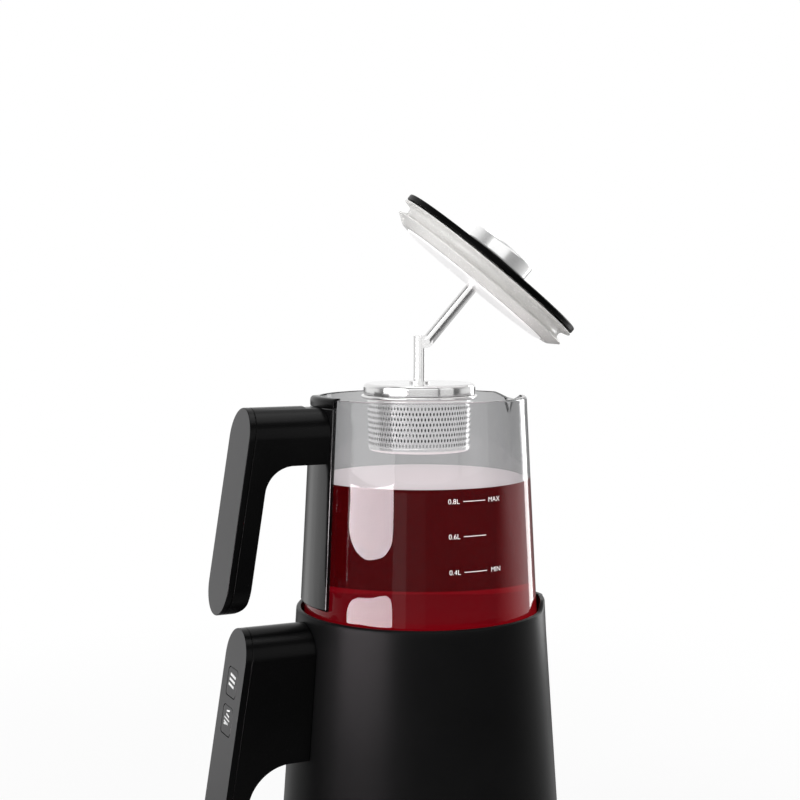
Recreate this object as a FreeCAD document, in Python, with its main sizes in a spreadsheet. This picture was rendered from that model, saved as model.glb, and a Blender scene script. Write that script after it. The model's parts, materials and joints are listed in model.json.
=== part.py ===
import FreeCAD, Part
import math
import os
import Sketcher
from FreeCAD import Placement, Rotation, Vector

# Tea maker: a cordless kettle on its power base, with a glass teapot seated in the
# kettle's collar. The teapot's lid and infuser are raised on a two-link rod.
# Frame: +Z up, the table is z 0, the origin is under the teapot's axis.
# +X points at the two spouts and -X at the two handles. Lengths are millimetres.

os.makedirs("parts", exist_ok=True)
doc = FreeCAD.newDocument("tea_maker")

SIZES = {
    # Power base
    "foot_height": 2.5,
    "foot_radius": 7.0,
    "middle_foot_radius": 12.0,
    "foot_circle": 66.0,
    "base_height": 17.5,
    "base_top_radius": 81.5,
    "base_flare": 1.5,
    "base_edge": 3.5,
    "base_wall": 2.4,
    "plate_wall": 2.0,
    "boss_radius": 4.0,
    "post_radius": 14.0,
    "post_rise": 9.5,
    "post_flange": 18.2,
    "gland_radius": 4.6,
    "gland_bore": 2.6,
    "gland_reach": 11.0,
    # Clearances
    "rest_gap": 0.3,
    "slide_gap": 0.3,
    "joint_gap": 0.3,
    "fit_gap": 0.1,
    "pin_gap": 0.05,
    # Kettle
    "kettle_height": 174.7,
    "kettle_rim_radius": 68.85,
    "kettle_flare": 12.2,
    "shell_wall": 2.6,
    "shell_edge": 1.2,
    "collar_depth": 11.5,
    "collar_ring": 7.0,
    "collar_mouth": 55.0,
    "collar_gap": 0.9,
    "kettle_spout_rise": 4.5,
    "kettle_spout_reach": 9.0,
    "kettle_spout_half_width": 33.0,
    "kettle_spout_height": 45.0,
    "cover_rise": 3.5,
    "cover_wall": 2.4,
    "coupler_radius": 24.0,
    "coupler_wall": 2.5,
    "liner_gap": 1.2,
    "liner_wall": 1.0,
    "liner_floor_height": 46.8,
    "heater_radius": 58.0,
    "heater_height": 3.0,
    "thermostat_length": 38.0,
    "thermostat_width": 26.0,
    "thermostat_height": 6.0,
    "strainer_slots": 7,
    "strainer_slot_width": 2.2,
    "strainer_slot_height": 14.0,
    "strainer_pitch": 4.6,
    # Handles: both lean out by the same angle and share one width
    "handle_width": 32.0,
    "handle_lean": 9.0,
    "handle_thickness": 13.0,
    "handle_cover": 3.6,
    "handle_edge": 0.8,
    "kettle_arm_drop": 4.0,
    "kettle_arm_height": 71.0,
    "kettle_handle_reach": 105.6,
    "kettle_handle_length": 154.0,
    "kettle_grip_corner": 24.0,
    # Buttons in the back of the kettle's handle
    "button_width": 15.0,
    "button_height": 14.6,
    "button_corner": 2.6,
    "button_depth": 2.4,
    "button_stem": 2.2,
    "button_first_drop": 28.4,
    "button_pitch": 19.8,
    "button_travel": 0.8,
    "board_width": 18.0,
    "board_length": 46.0,
    "board_wall": 1.6,
    "switch_width": 6.0,
    # Teapot
    "pot_height": 127.2,
    "pot_rim_radius": 58.3,
    "pot_flare": 6.75,
    "pot_corner": 7.0,
    "glass_wall": 2.4,
    "pot_floor": 2.8,
    "pot_spout_reach": 6.2,
    "pot_spout_half_width": 14.0,
    "pot_spout_height": 16.0,
    "pot_spout_dip": 4.6,
    "pot_notch_half_width": 16.5,
    "pot_notch_round": 24.0,
    "strap_wall": 2.5,
    "clip_cover": 0.9,
    "clip_reach": 11.5,
    "clip_height": 4.4,
    "clip_tongue": 1.6,
    "clip_tongue_depth": 7.0,
    "pot_arm_drop": 3.5,
    "pot_arm_height": 30.0,
    "pot_handle_reach": 102.6,
    "pot_handle_length": 107.9,
    "pot_grip_corner": 16.0,
    # Infuser, placed as the photograph shows it, partly lifted out of the teapot
    "view_turn": -25.0,
    "cap_radius": 30.8,
    "cap_height": 6.2,
    "cap_edge": 2.0,
    "cap_rise": 7.0,
    "cap_skirt": 5.0,
    "flange_radius": 32.1,
    "flange_height": 2.2,
    "basket_radius": 28.7,
    "basket_taper": 0.9,
    "basket_wall": 0.8,
    "basket_depth": 28.4,
    "basket_corner": 2.0,
    "infuser_shift": -0.65,
    "knee_offset": 4.2,
    "knee_rise": 29.8,
    "rod_radius": 3.3,
    "ear_thickness": 2.6,
    "rod_edge": 0.4,
    "rod_foot_radius": 5.7,
    "rod_foot_height": 1.0,
    "pin_radius": 1.5,
    "pin_head": 0.6,
    # Lid, tilted at the knee as the photograph shows it
    "lid_tilt": 39.4,
    "lid_radius": 57.9,
    "lid_wall": 3.1,
    "lid_arm": 54.8,
    "lid_boss_radius": 20.0,
    "lid_boss_height": 2.9,
    "knob_radius": 19.5,
    "knob_height": 8.4,
    "knob_edge": 1.6,
    "knob_stem_radius": 4.0,
    "hub_radius": 15.7,
    "dish_radius": 47.4,
    "dish_depth": 13.6,
    "dish_wall": 1.0,
    "dish_corner": 2.5,
    "seal_foot_radius": 51.3,
    "seal_upper_lip": 58.1,
    "seal_lower_lip": 57.0,
    "seal_groove_radius": 52.7,
    "seal_lip_depth": 8.6,
    "seal_wall": 1.2,
}

sheet = doc.addObject("Spreadsheet::Sheet", "size")
for row, (alias, number) in enumerate(SIZES.items(), start=1):
    sheet.set(f"A{row}", alias)
    sheet.set(f"B{row}", str(number))
    sheet.setAlias(f"B{row}", alias)
doc.recompute()

# Heights and radii that several pieces share, as expressions of the sheet's sizes
BASE_TOP = "(size.foot_height + size.base_height)"
KETTLE_FOOT = f"({BASE_TOP} + size.rest_gap)"
KETTLE_RIM = f"({KETTLE_FOOT} + size.kettle_height)"
SEAT = f"({KETTLE_RIM} - size.collar_depth)"
POT_FOOT = f"({SEAT} + size.rest_gap)"
POT_RIM = f"({POT_FOOT} + size.pot_height)"
KNEE = f"({POT_RIM} + size.knee_rise)"
COVER_FOOT = f"({KETTLE_FOOT} + size.cover_rise)"
COVER_TOP = f"({COVER_FOOT} + size.cover_wall)"
COLLAR_RADIUS = "(size.pot_rim_radius + size.pot_flare + size.collar_gap)"
SHELL_SLOPE = "(size.kettle_flare / size.kettle_height)"
POT_SLOPE = "(size.pot_flare / size.pot_height)"
HALF_WIDTH = "(size.handle_width / 2)"

nodes = []


def value(expression):
    """The number that an expression of the sheet's sizes comes to."""
    result = sheet.evalExpression(expression)
    return float(getattr(result, "Value", result))


def shell_radius(height):
    """The kettle's outer radius at a height above the table."""
    return f"(size.kettle_rim_radius + ({KETTLE_RIM} - ({height})) * {SHELL_SLOPE})"


def pot_radius(height):
    """The teapot's outer radius at a height above the table."""
    return f"(size.pot_rim_radius + ({POT_RIM} - ({height})) * {POT_SLOPE})"


def new_body(label):
    body = doc.addObject("PartDesign::Body", label)
    body.Label = label
    body.AllowCompound = True
    nodes.append(body)
    return body


def new_sketch(body, name, plane, offset="0"):
    sketch = body.newObject("Sketcher::SketchObject", f"{body.Label}_{name}")
    support = next(item for item in body.Origin.OriginFeatures if item.Role == plane)
    sketch.AttachmentSupport = [(support, "")]
    sketch.MapMode = "FlatFace"
    sketch.setExpression(".AttachmentOffset.Base.z", offset)
    return sketch


def bind(sketch, constraint, expression):
    """Add a constraint and drive it by an expression."""
    index = sketch.addConstraint(constraint)
    sketch.setExpression(f"Constraints[{index}]", expression)
    return index


def corner_arc(before, corner, after, radius):
    """The arc that rounds a corner, and the two points where it leaves the sides."""
    back = (before - corner).normalize()
    ahead = (after - corner).normalize()
    half = back.getAngle(ahead) / 2
    start = corner + back * (radius / math.tan(half))
    end = corner + ahead * (radius / math.tan(half))
    centre = corner + (back + ahead).normalize() * (radius / math.sin(half))
    turns_left = (corner - before).cross(after - corner).z > 0
    first, last = (start, end) if turns_left else (end, start)
    first_angle = math.atan2(first.y - centre.y, first.x - centre.x)
    last_angle = math.atan2(last.y - centre.y, last.x - centre.x)
    circle = Part.Circle(centre, Vector(0, 0, 1), radius)
    return Part.ArcOfCircle(circle, first_angle, last_angle), start, end, turns_left


def outline(sketch, corners):
    """A closed outline through corners (x, y) or, where it is rounded, (x, y, radius)."""
    places = [Vector(value(c[0]), value(c[1]), 0) for c in corners]
    count = len(corners)
    arrive, leave, arcs = [], [], {}
    for i, corner in enumerate(corners):
        arrive.append(places[i])
        leave.append(places[i])
        if len(corner) == 3:
            ahead = places[(i + 1) % count]
            arc, start, end, left = corner_arc(places[i - 1], places[i], ahead, value(corner[2]))
            arrive[i], leave[i] = start, end
            arcs[i] = (sketch.addGeometry(arc), left)
    sides = []
    for i in range(count):
        side = Part.LineSegment(leave[i], arrive[(i + 1) % count])
        sides.append(sketch.addGeometry(side))
    for i, corner in enumerate(corners):
        incoming, outgoing = sides[i - 1], sides[i]
        if i in arcs:
            arc, left = arcs[i]
            near, far = (1, 2) if left else (2, 1)
            sketch.addConstraint(Sketcher.Constraint("Tangent", incoming, 2, arc, near))
            sketch.addConstraint(Sketcher.Constraint("Tangent", arc, far, outgoing, 1))
            bind(sketch, Sketcher.Constraint("Radius", arc, value(corner[2])), corner[2])
            point = sketch.addGeometry(Part.Point(places[i]), True)
            sketch.addConstraint(Sketcher.Constraint("PointOnObject", point, 1, incoming))
            sketch.addConstraint(Sketcher.Constraint("PointOnObject", point, 1, outgoing))
        else:
            point = outgoing
            sketch.addConstraint(Sketcher.Constraint("Coincident", incoming, 2, outgoing, 1))
        bind(sketch, Sketcher.Constraint("DistanceX", point, 1, places[i].x), corner[0])
        bind(sketch, Sketcher.Constraint("DistanceY", point, 1, places[i].y), corner[1])


def circles(sketch, radius, centres):
    """Circles of one radius round centres (x, y)."""
    for across, along in centres:
        centre = Vector(value(across), value(along), 0)
        ring = sketch.addGeometry(Part.Circle(centre, Vector(0, 0, 1), value(radius)))
        bind(sketch, Sketcher.Constraint("Radius", ring, value(radius)), radius)
        bind(sketch, Sketcher.Constraint("DistanceX", ring, 3, centre.x), across)
        bind(sketch, Sketcher.Constraint("DistanceY", ring, 3, centre.y), along)


def box_outline(sketch, left, right, low, high, corner=None):
    """A rectangle between four expressions, with rounded corners if one is given."""
    ends = [(left, low), (right, low), (right, high), (left, high)]
    outline(sketch, [end + (corner,) for end in ends] if corner else ends)


def revolve(body, name, corners, kind="PartDesign::Revolution", angle="360", both_ways=False):
    """Turn an outline of (radius, height) corners about the body's Z axis."""
    sketch = new_sketch(body, name, "XZ_Plane")
    outline(sketch, corners)
    feature = body.newObject(kind, f"{body.Label}_{name}_turned")
    feature.Profile = sketch
    feature.ReferenceAxis = (sketch, ["V_Axis"])
    feature.Midplane = both_ways
    feature.setExpression("Angle", angle)
    doc.recompute()
    return feature


def pad(body, sketch, length, both_ways=False, reverse=False):
    feature = body.newObject("PartDesign::Pad", f"{sketch.Name}_pad")
    feature.Profile = sketch
    feature.Midplane = both_ways
    feature.Reversed = reverse
    feature.setExpression("Length", length)
    doc.recompute()
    return feature


def pocket(body, sketch, length=None, both_ways=False, reverse=False):
    """Cut a sketch's outline into the body and make sure that something was cut."""
    doc.recompute()
    before = body.Shape.Volume
    feature = body.newObject("PartDesign::Pocket", f"{sketch.Name}_cut")
    feature.Profile = sketch
    feature.Midplane = both_ways
    feature.Reversed = reverse
    if length is None:
        feature.Type = "ThroughAll"
    else:
        feature.setExpression("Length", length)
    doc.recompute()
    if not body.Shape.Volume < before:
        raise RuntimeError(f"{feature.Name} cuts nothing")
    return feature


def polar(body, feature, count):
    """Repeat a feature evenly round the body's Z axis."""
    pattern = body.newObject("PartDesign::PolarPattern", f"{feature.Name}_ring")
    pattern.Originals = [feature]
    axis = next(item for item in body.Origin.OriginFeatures if item.Role == "Z_Axis")
    pattern.Axis = (axis, [""])
    pattern.Angle = 360
    pattern.Occurrences = count
    body.Tip = pattern
    doc.recompute()
    return pattern


def cone(low, high, low_radius, high_radius, inner=None):
    """Corners of a solid cone, or of a conical tube where an inner drop is given."""
    if inner is None:
        return [("0", low), (low_radius, low), (high_radius, high), ("0", high)]
    return [
        (f"{low_radius} - {inner}", low),
        (low_radius, low),
        (high_radius, high),
        (f"{high_radius} - {inner}", high),
    ]


def ring(inner, outer, low, high, edge=None):
    """Corners of a flat ring or disc, with its outer edges rounded if one is given."""
    corners = [(inner, low), (outer, low), (outer, high), (inner, high)]
    if edge:
        corners[1] += (edge,)
        corners[2] += (edge,)
    return corners


def beak(body, name, levels, cut=False):
    """Loft a spout through pointed outlines: (height, back, tip, half width) each."""
    sections = []
    for number, (height, back, tip, half) in enumerate(levels):
        sketch = new_sketch(body, f"{name}{number}", "XY_Plane", height)
        shoulder = f"({back} + ({tip} - {back}) * 0.45)"
        corners = [
            (back, f"-({half})"),
            (shoulder, f"-({half}) * 0.8"),
            (tip, "0", f"({half}) * 0.35"),
            (shoulder, f"({half}) * 0.8"),
            (back, half),
        ]
        outline(sketch, corners)
        sections.append(sketch)
    doc.recompute()
    before = body.Shape.Volume
    kind = "PartDesign::SubtractiveLoft" if cut else "PartDesign::AdditiveLoft"
    loft = body.newObject(kind, f"{body.Label}_{name}")
    loft.Profile = sections[0]
    loft.Sections = sections[1:]
    loft.Ruled = True
    doc.recompute()
    if (body.Shape.Volume < before) != cut:
        raise RuntimeError(f"{loft.Name} changes nothing")
    return loft


# Power base

def base_housing():
    body = new_body("base_housing")
    foot = "size.foot_height"
    inner_top = f"{BASE_TOP} - size.base_wall"
    wide = "size.base_top_radius + size.base_flare"
    bore = "size.post_flange + size.fit_gap"
    revolve(body, "wall", [
        (bore, inner_top),
        ("size.base_top_radius - size.base_wall", inner_top),
        (f"{wide} - size.base_wall", foot),
        (wide, foot, "size.shell_edge"),
        ("size.base_top_radius", BASE_TOP, "size.base_edge"),
        (bore, BASE_TOP),
    ])
    bosses = new_sketch(body, "boss", "XY_Plane", f"{foot} + size.plate_wall")
    circles(bosses, "size.boss_radius", [FOOT_PLACE])
    boss = pad(body, bosses, "size.base_height - size.plate_wall - size.base_wall / 2")
    polar(body, boss, 4)
    opening = new_sketch(body, "gland_hole", "XZ_Plane", f"-({GLAND_START})")
    circles(opening, "size.gland_radius + size.fit_gap", [("0", GLAND_HEIGHT)])
    pocket(body, opening, "size.gland_reach")


# The feet and screw bosses stand at 45 degrees, clear of the gland at the back
FOOT_PLACE = ("size.foot_circle * cos(45)", "size.foot_circle * sin(45)")
GLAND_HEIGHT = "(size.foot_height + size.base_height / 2)"
GLAND_START = "(size.base_top_radius - size.base_wall * 3)"


def base_underplate():
    body = new_body("base_underplate")
    edge = "size.base_top_radius + size.base_flare - size.base_wall - size.rest_gap"
    top = "size.foot_height + size.plate_wall"
    revolve(body, "disc", ring("0", edge, "size.foot_height", top))


def base_feet():
    body = new_body("base_feet")
    sketch = new_sketch(body, "foot", "XY_Plane")
    circles(sketch, "size.foot_radius", [FOOT_PLACE])
    polar(body, pad(body, sketch, "size.foot_height"), 4)
    middle = new_sketch(body, "middle_foot", "XY_Plane")
    circles(middle, "size.middle_foot_radius", [("0", "0")])
    pad(body, middle, "size.foot_height")


def base_connector():
    body = new_body("base_connector")
    under = f"{BASE_TOP} - size.base_wall"
    flange = f"{under} - size.plate_wall"
    post = f"{BASE_TOP} + size.post_rise"
    wide = "size.post_flange + size.boss_radius"
    revolve(body, "post", [
        ("0", flange),
        (wide, flange),
        (wide, under),
        ("size.post_flange", under),
        ("size.post_flange", BASE_TOP),
        ("size.post_radius", BASE_TOP),
        ("size.post_radius", post, "size.base_edge"),
        ("0", post),
    ])


def base_gland():
    body = new_body("base_gland")
    sketch = new_sketch(body, "sleeve", "XZ_Plane", f"-({GLAND_START})")
    circles(sketch, "size.gland_radius", [("0", GLAND_HEIGHT)])
    circles(sketch, "size.gland_bore", [("0", GLAND_HEIGHT)])
    pad(body, sketch, "size.gland_reach + size.base_wall * 3", reverse=True)
    stop = new_sketch(body, "stop", "XZ_Plane", f"-({GLAND_START})")
    circles(stop, "size.gland_radius * 1.3", [("0", GLAND_HEIGHT)])
    circles(stop, "size.gland_bore", [("0", GLAND_HEIGHT)])
    pad(body, stop, "size.base_wall", reverse=True)


# Kettle

def kettle_coupler():
    body = new_body("kettle_coupler")
    ceiling = f"{BASE_TOP} + size.post_rise + size.rest_gap * 2"
    bore = "size.post_radius + size.slide_gap * 2"
    flange = f"{COVER_TOP} + size.joint_gap"
    revolve(body, "socket", [
        ("0", ceiling),
        (bore, ceiling),
        (bore, KETTLE_FOOT),
        ("size.coupler_radius", KETTLE_FOOT),
        ("size.coupler_radius", flange),
        ("size.coupler_radius + size.coupler_wall", flange),
        ("size.coupler_radius + size.coupler_wall", f"{flange} + size.coupler_wall"),
        (f"{bore} + size.coupler_wall", f"{flange} + size.coupler_wall"),
        (f"{bore} + size.coupler_wall", f"{ceiling} + size.coupler_wall"),
        ("0", f"{ceiling} + size.coupler_wall"),
    ])


def kettle_shell():
    body = new_body("kettle_shell")
    rim = shell_radius(KETTLE_RIM)
    revolve(body, "outside", [
        ("0", KETTLE_FOOT),
        (shell_radius(KETTLE_FOOT), KETTLE_FOOT, "size.shell_edge"),
        (rim, KETTLE_RIM, "size.shell_edge"),
        ("0", KETTLE_RIM),
    ])
    spout_foot = f"{KETTLE_RIM} - size.kettle_spout_height"
    spout_top = f"{KETTLE_RIM} + size.kettle_spout_rise"
    back = "size.kettle_rim_radius * 0.8"
    tip = "size.kettle_rim_radius + size.kettle_spout_reach"
    root = shell_radius(spout_foot)
    beak(body, "spout", [
        (spout_foot, back, f"{root} - size.shell_wall / 2", "size.kettle_spout_half_width / 3"),
        (spout_top, back, tip, "size.kettle_spout_half_width"),
    ])
    neck = f"{SEAT} - size.collar_ring"
    above = f"{spout_top} + size.kettle_spout_rise"
    revolve(body, "inside", [
        ("0", KETTLE_FOOT),
        (f"{shell_radius(KETTLE_FOOT)} - size.shell_wall", KETTLE_FOOT),
        (f"{shell_radius(neck)} - size.shell_wall", neck),
        (COLLAR_RADIUS, neck),
        (COLLAR_RADIUS, above),
        ("0", above),
    ], kind="PartDesign::Groove")
    wall = "size.shell_wall"
    beak(body, "channel", [
        (neck, back, f"{shell_radius(neck)} - {wall} * 0.6", "size.kettle_spout_half_width * 0.5"),
        (f"{above}", back, f"{tip} - {wall}", f"size.kettle_spout_half_width - {wall} * 1.4"),
    ], cut=True)


def kettle_collar():
    body = new_body("kettle_collar")
    low = f"{SEAT} - size.collar_ring"
    outer = f"{COLLAR_RADIUS} - size.fit_gap"
    revolve(body, "ledge", ring("size.collar_mouth", outer, low, SEAT))
    slot = new_sketch(body, "pour_slot", "XY_Plane", SEAT)
    half = "size.kettle_spout_half_width * 0.4"
    box_outline(slot, "size.collar_mouth + size.shell_wall", f"{outer} - size.shell_wall",
                f"-{half}", half, "size.shell_wall / 2")
    pocket(body, slot)


def kettle_liner():
    body = new_body("kettle_liner")
    top = f"{SEAT} - size.collar_ring"
    drop = "size.shell_wall - size.liner_gap"

    def outer(height):
        return f"({shell_radius(height)} - size.shell_wall - size.liner_gap)"

    floor = "size.liner_floor_height"
    lip = f"({top} - size.liner_wall * 2)"
    revolve(body, "wall", [
        ("0", floor),
        (outer(floor), floor, "size.pot_corner"),
        (outer(lip), lip),
        (outer(lip), top),
        ("size.collar_mouth", top),
        ("size.collar_mouth", f"{top} - size.liner_wall"),
        (f"{outer(lip)} - size.liner_wall", f"{top} - size.liner_wall"),
        (f"{outer(floor)} - size.liner_wall", f"{floor} + size.liner_wall", "size.pot_corner"),
        ("0", f"{floor} + size.liner_wall"),
    ])
    slots = new_sketch(body, "strainer", "YZ_Plane", "size.collar_mouth")
    count = int(value("size.strainer_slots"))
    high = f"{top} - size.liner_wall * 5"
    for number in range(count):
        middle = f"({number} - {(count - 1) / 2}) * size.strainer_pitch"
        half = "size.strainer_slot_width / 2"
        box_outline(slots, f"{middle} - {half}", f"{middle} + {half}",
                    f"{high} - size.strainer_slot_height", high)
    pocket(body, slots, reverse=True)


def kettle_bottom_cover():
    body = new_body("kettle_bottom_cover")
    outer = f"{shell_radius(COVER_TOP)} - size.shell_wall - size.fit_gap"
    bore = "size.coupler_radius + size.joint_gap"
    revolve(body, "disc", ring(bore, outer, COVER_FOOT, COVER_TOP))


def heater_plate():
    body = new_body("heater_plate")
    top = "size.liner_floor_height"
    revolve(body, "disc", ring("0", "size.heater_radius", f"{top} - size.heater_height", top))


def thermostat():
    block = doc.addObject("Part::Box", "thermostat")
    block.Label = "thermostat"
    top = "size.liner_floor_height - size.heater_height"
    block.setExpression("Length", "size.thermostat_length")
    block.setExpression("Width", "size.thermostat_width")
    block.setExpression("Height", "size.thermostat_height")
    block.setExpression(".Placement.Base.x", "-size.thermostat_length / 2")
    block.setExpression(".Placement.Base.y", "-size.thermostat_width / 2")
    block.setExpression(".Placement.Base.z", f"{top} - size.thermostat_height")
    nodes.append(block)


# Handles. Each is a side outline padded across, cut to a stadium as seen from behind,
# with a cover let into its leaning back.

LEAN = "tan(size.handle_lean)"


def leaning(reach, top, drop, inset="0"):
    """The x of the leaning back, a drop below its top and an inset in from its face."""
    return f"(-({reach}) - ({drop}) * {LEAN} + ({inset}))"


def handle_body(name, reach, top, length, arm_height, grip_corner, root, hug):
    """The handle less its cover: arm, leaning grip and the hollow of its root."""
    body = new_body(name)
    cover = "size.handle_cover"
    thick = "size.handle_thickness"
    sketch = new_sketch(body, "side", "XZ_Plane")
    outline(sketch, [
        (f"-({root})", top),
        (leaning(reach, top, "0", cover), top),
        (leaning(reach, top, length, cover), f"{top} - {length}"),
        (leaning(reach, top, length, thick), f"{top} - {length}", f"{thick} - {cover} - size.handle_edge"),
        (leaning(reach, top, arm_height, thick), f"{top} - {arm_height}", grip_corner),
        (f"-({root})", f"{top} - {arm_height}"),
    ])
    pad(body, sketch, "size.handle_width", both_ways=True)
    trim_to_stadium(body, top, length)
    revolve(body, "hug", hug, kind="PartDesign::Groove")
    return body


def stadium(sketch, half, top, low):
    """A stadium between two heights, with full round ends."""
    box_outline(sketch, f"-{half}", half, low, top, f"{half} - 0.01")


def trim_to_stadium(body, top, length):
    """Cut away what lies outside the stadium seen from behind."""
    sketch = new_sketch(body, "trim", "YZ_Plane")
    beyond = "size.handle_width"
    low = f"{top} - {length}"
    box_outline(sketch, f"-{beyond}", beyond, f"{low} - {beyond}", f"{top} + {beyond}")
    stadium(sketch, HALF_WIDTH, top, low)
    pocket(body, sketch, both_ways=True)


def handle_cover(name, reach, top, length):
    """The cover on a handle's leaning back, with a fine shadow line round it."""
    body = new_body(name)
    sketch = new_sketch(body, "side", "XZ_Plane")
    face = "size.handle_cover"
    seat = f"{face} - size.fit_gap"
    outline(sketch, [
        (leaning(reach, top, "0"), top),
        (leaning(reach, top, length), f"{top} - {length}"),
        (leaning(reach, top, length, seat), f"{top} - {length}"),
        (leaning(reach, top, "0", seat), top),
    ])
    pad(body, sketch, "size.handle_width", both_ways=True)
    trim_to_stadium(body, top, length)
    return body


KETTLE_ARM_TOP = f"({KETTLE_RIM} - size.kettle_arm_drop)"
POT_ARM_TOP = f"({POT_RIM} - size.pot_arm_drop)"


def kettle_handle():
    gap = "size.fit_gap"
    foot = f"{KETTLE_ARM_TOP} - size.kettle_handle_length"
    hug = cone(foot, f"{KETTLE_RIM}", f"{shell_radius(foot)} + {gap}",
               f"{shell_radius(KETTLE_RIM)} + {gap}")
    body = handle_body(
        "kettle_handle", "size.kettle_handle_reach", KETTLE_ARM_TOP,
        "size.kettle_handle_length", "size.kettle_arm_height",
        "size.kettle_grip_corner", "size.kettle_rim_radius - size.shell_wall", hug)
    bay = new_sketch(body, "bay", "XZ_Plane")
    first = "size.button_first_drop"
    middle = f"({first} + size.button_pitch / 2)"
    upper = f"{middle} - size.board_length / 2 - size.fit_gap * 5"
    lower = f"{middle} + size.board_length / 2 + size.fit_gap * 5"
    reach = "size.kettle_handle_reach"
    deep = f"size.handle_cover + {BAY_DEPTH}"
    outline(bay, [
        (leaning(reach, KETTLE_ARM_TOP, upper), f"{KETTLE_ARM_TOP} - ({upper})"),
        (leaning(reach, KETTLE_ARM_TOP, lower), f"{KETTLE_ARM_TOP} - ({lower})"),
        (leaning(reach, KETTLE_ARM_TOP, lower, deep), f"{KETTLE_ARM_TOP} - ({lower})"),
        (leaning(reach, KETTLE_ARM_TOP, upper, deep), f"{KETTLE_ARM_TOP} - ({upper})"),
    ])
    pocket(body, bay, "size.board_width + size.fit_gap * 10", both_ways=True)


SWITCH_HEIGHT = "(size.button_stem - size.rest_gap)"
BAY_DEPTH = f"(size.button_travel + size.rest_gap + {SWITCH_HEIGHT} + size.board_wall)"


def kettle_handle_cover():
    reach = "size.kettle_handle_reach"
    body = handle_cover("kettle_handle_cover", reach, KETTLE_ARM_TOP, "size.kettle_handle_length")
    holes = new_sketch(body, "button_holes", "YZ_Plane")
    for number in range(2):
        drop = f"size.button_first_drop + {number} * size.button_pitch"
        across = "size.button_width / 2 + size.slide_gap"
        up = "size.button_height / 2 + size.slide_gap"
        box_outline(holes, f"-({across})", across, f"{KETTLE_ARM_TOP} - ({drop}) - ({up})",
                    f"{KETTLE_ARM_TOP} - ({drop}) + {up}", "size.button_corner")
    pocket(body, holes, both_ways=True)


def button(name, number):
    """A button: a rounded cap flush with the leaning cover, and its stem behind it."""
    body = new_body(name)
    drop = f"(size.button_first_drop + {number} * size.button_pitch)"
    middle = f"({KETTLE_ARM_TOP} - {drop})"
    reach = "size.kettle_handle_reach"
    side = new_sketch(body, "side", "XZ_Plane")
    span = "size.button_height"
    upper = f"{drop} - {span} / 2"
    lower = f"{drop} + {span} / 2"
    depth = "size.button_depth"
    outline(side, [
        (leaning(reach, KETTLE_ARM_TOP, upper), f"{KETTLE_ARM_TOP} - ({upper})"),
        (leaning(reach, KETTLE_ARM_TOP, lower), f"{KETTLE_ARM_TOP} - ({lower})"),
        (leaning(reach, KETTLE_ARM_TOP, lower, depth), f"{KETTLE_ARM_TOP} - ({lower})"),
        (leaning(reach, KETTLE_ARM_TOP, upper, depth), f"{KETTLE_ARM_TOP} - ({upper})"),
    ])
    pad(body, side, "size.button_width", both_ways=True)
    trim = new_sketch(body, "trim", "YZ_Plane")
    beyond = "size.button_width"
    half = "size.button_width / 2"
    box_outline(trim, f"-{beyond}", beyond, f"{middle} - {beyond}", f"{middle} + {beyond}")
    box_outline(trim, f"-({half})", half, f"{middle} - {span} / 2", f"{middle} + {span} / 2",
                "size.button_corner")
    pocket(body, trim, both_ways=True)
    stem = new_sketch(body, "stem", "XZ_Plane")
    small = "size.switch_width / 2"
    deep = "size.handle_cover"
    outline(stem, [
        (leaning(reach, KETTLE_ARM_TOP, f"{drop} - {small}", depth), f"{middle} + {small}"),
        (leaning(reach, KETTLE_ARM_TOP, f"{drop} + {small}", depth), f"{middle} - {small}"),
        (leaning(reach, KETTLE_ARM_TOP, f"{drop} + {small}", deep), f"{middle} - {small}"),
        (leaning(reach, KETTLE_ARM_TOP, f"{drop} - {small}", deep), f"{middle} + {small}"),
    ])
    pad(body, stem, "size.switch_width", both_ways=True)


def control_board():
    body = new_body("control_board")
    reach = "size.kettle_handle_reach"
    middle = "(size.button_first_drop + size.button_pitch / 2)"
    upper = f"{middle} - size.board_length / 2"
    lower = f"{middle} + size.board_length / 2"
    back = f"size.handle_cover + {BAY_DEPTH} - size.fit_gap / 2"
    front = f"{back} - size.board_wall"
    board = new_sketch(body, "board", "XZ_Plane")
    outline(board, [
        (leaning(reach, KETTLE_ARM_TOP, upper, front), f"{KETTLE_ARM_TOP} - ({upper})"),
        (leaning(reach, KETTLE_ARM_TOP, lower, front), f"{KETTLE_ARM_TOP} - ({lower})"),
        (leaning(reach, KETTLE_ARM_TOP, lower, back), f"{KETTLE_ARM_TOP} - ({lower})"),
        (leaning(reach, KETTLE_ARM_TOP, upper, back), f"{KETTLE_ARM_TOP} - ({upper})"),
    ])
    pad(body, board, "size.board_width", both_ways=True)
    for number in range(2):
        drop = f"(size.button_first_drop + {number} * size.button_pitch)"
        small = "size.switch_width / 2"
        top = f"{front} - {SWITCH_HEIGHT}"
        switch = new_sketch(body, f"switch{number}", "XZ_Plane")
        outline(switch, [
            (leaning(reach, KETTLE_ARM_TOP, f"{drop} - {small}", top), f"{KETTLE_ARM_TOP} - {drop} + {small}"),
            (leaning(reach, KETTLE_ARM_TOP, f"{drop} + {small}", top), f"{KETTLE_ARM_TOP} - {drop} - {small}"),
            (leaning(reach, KETTLE_ARM_TOP, f"{drop} + {small}", front), f"{KETTLE_ARM_TOP} - {drop} - {small}"),
            (leaning(reach, KETTLE_ARM_TOP, f"{drop} - {small}", front), f"{KETTLE_ARM_TOP} - {drop} + {small}"),
        ])
        pad(body, switch, "size.switch_width", both_ways=True)


# Teapot

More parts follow.
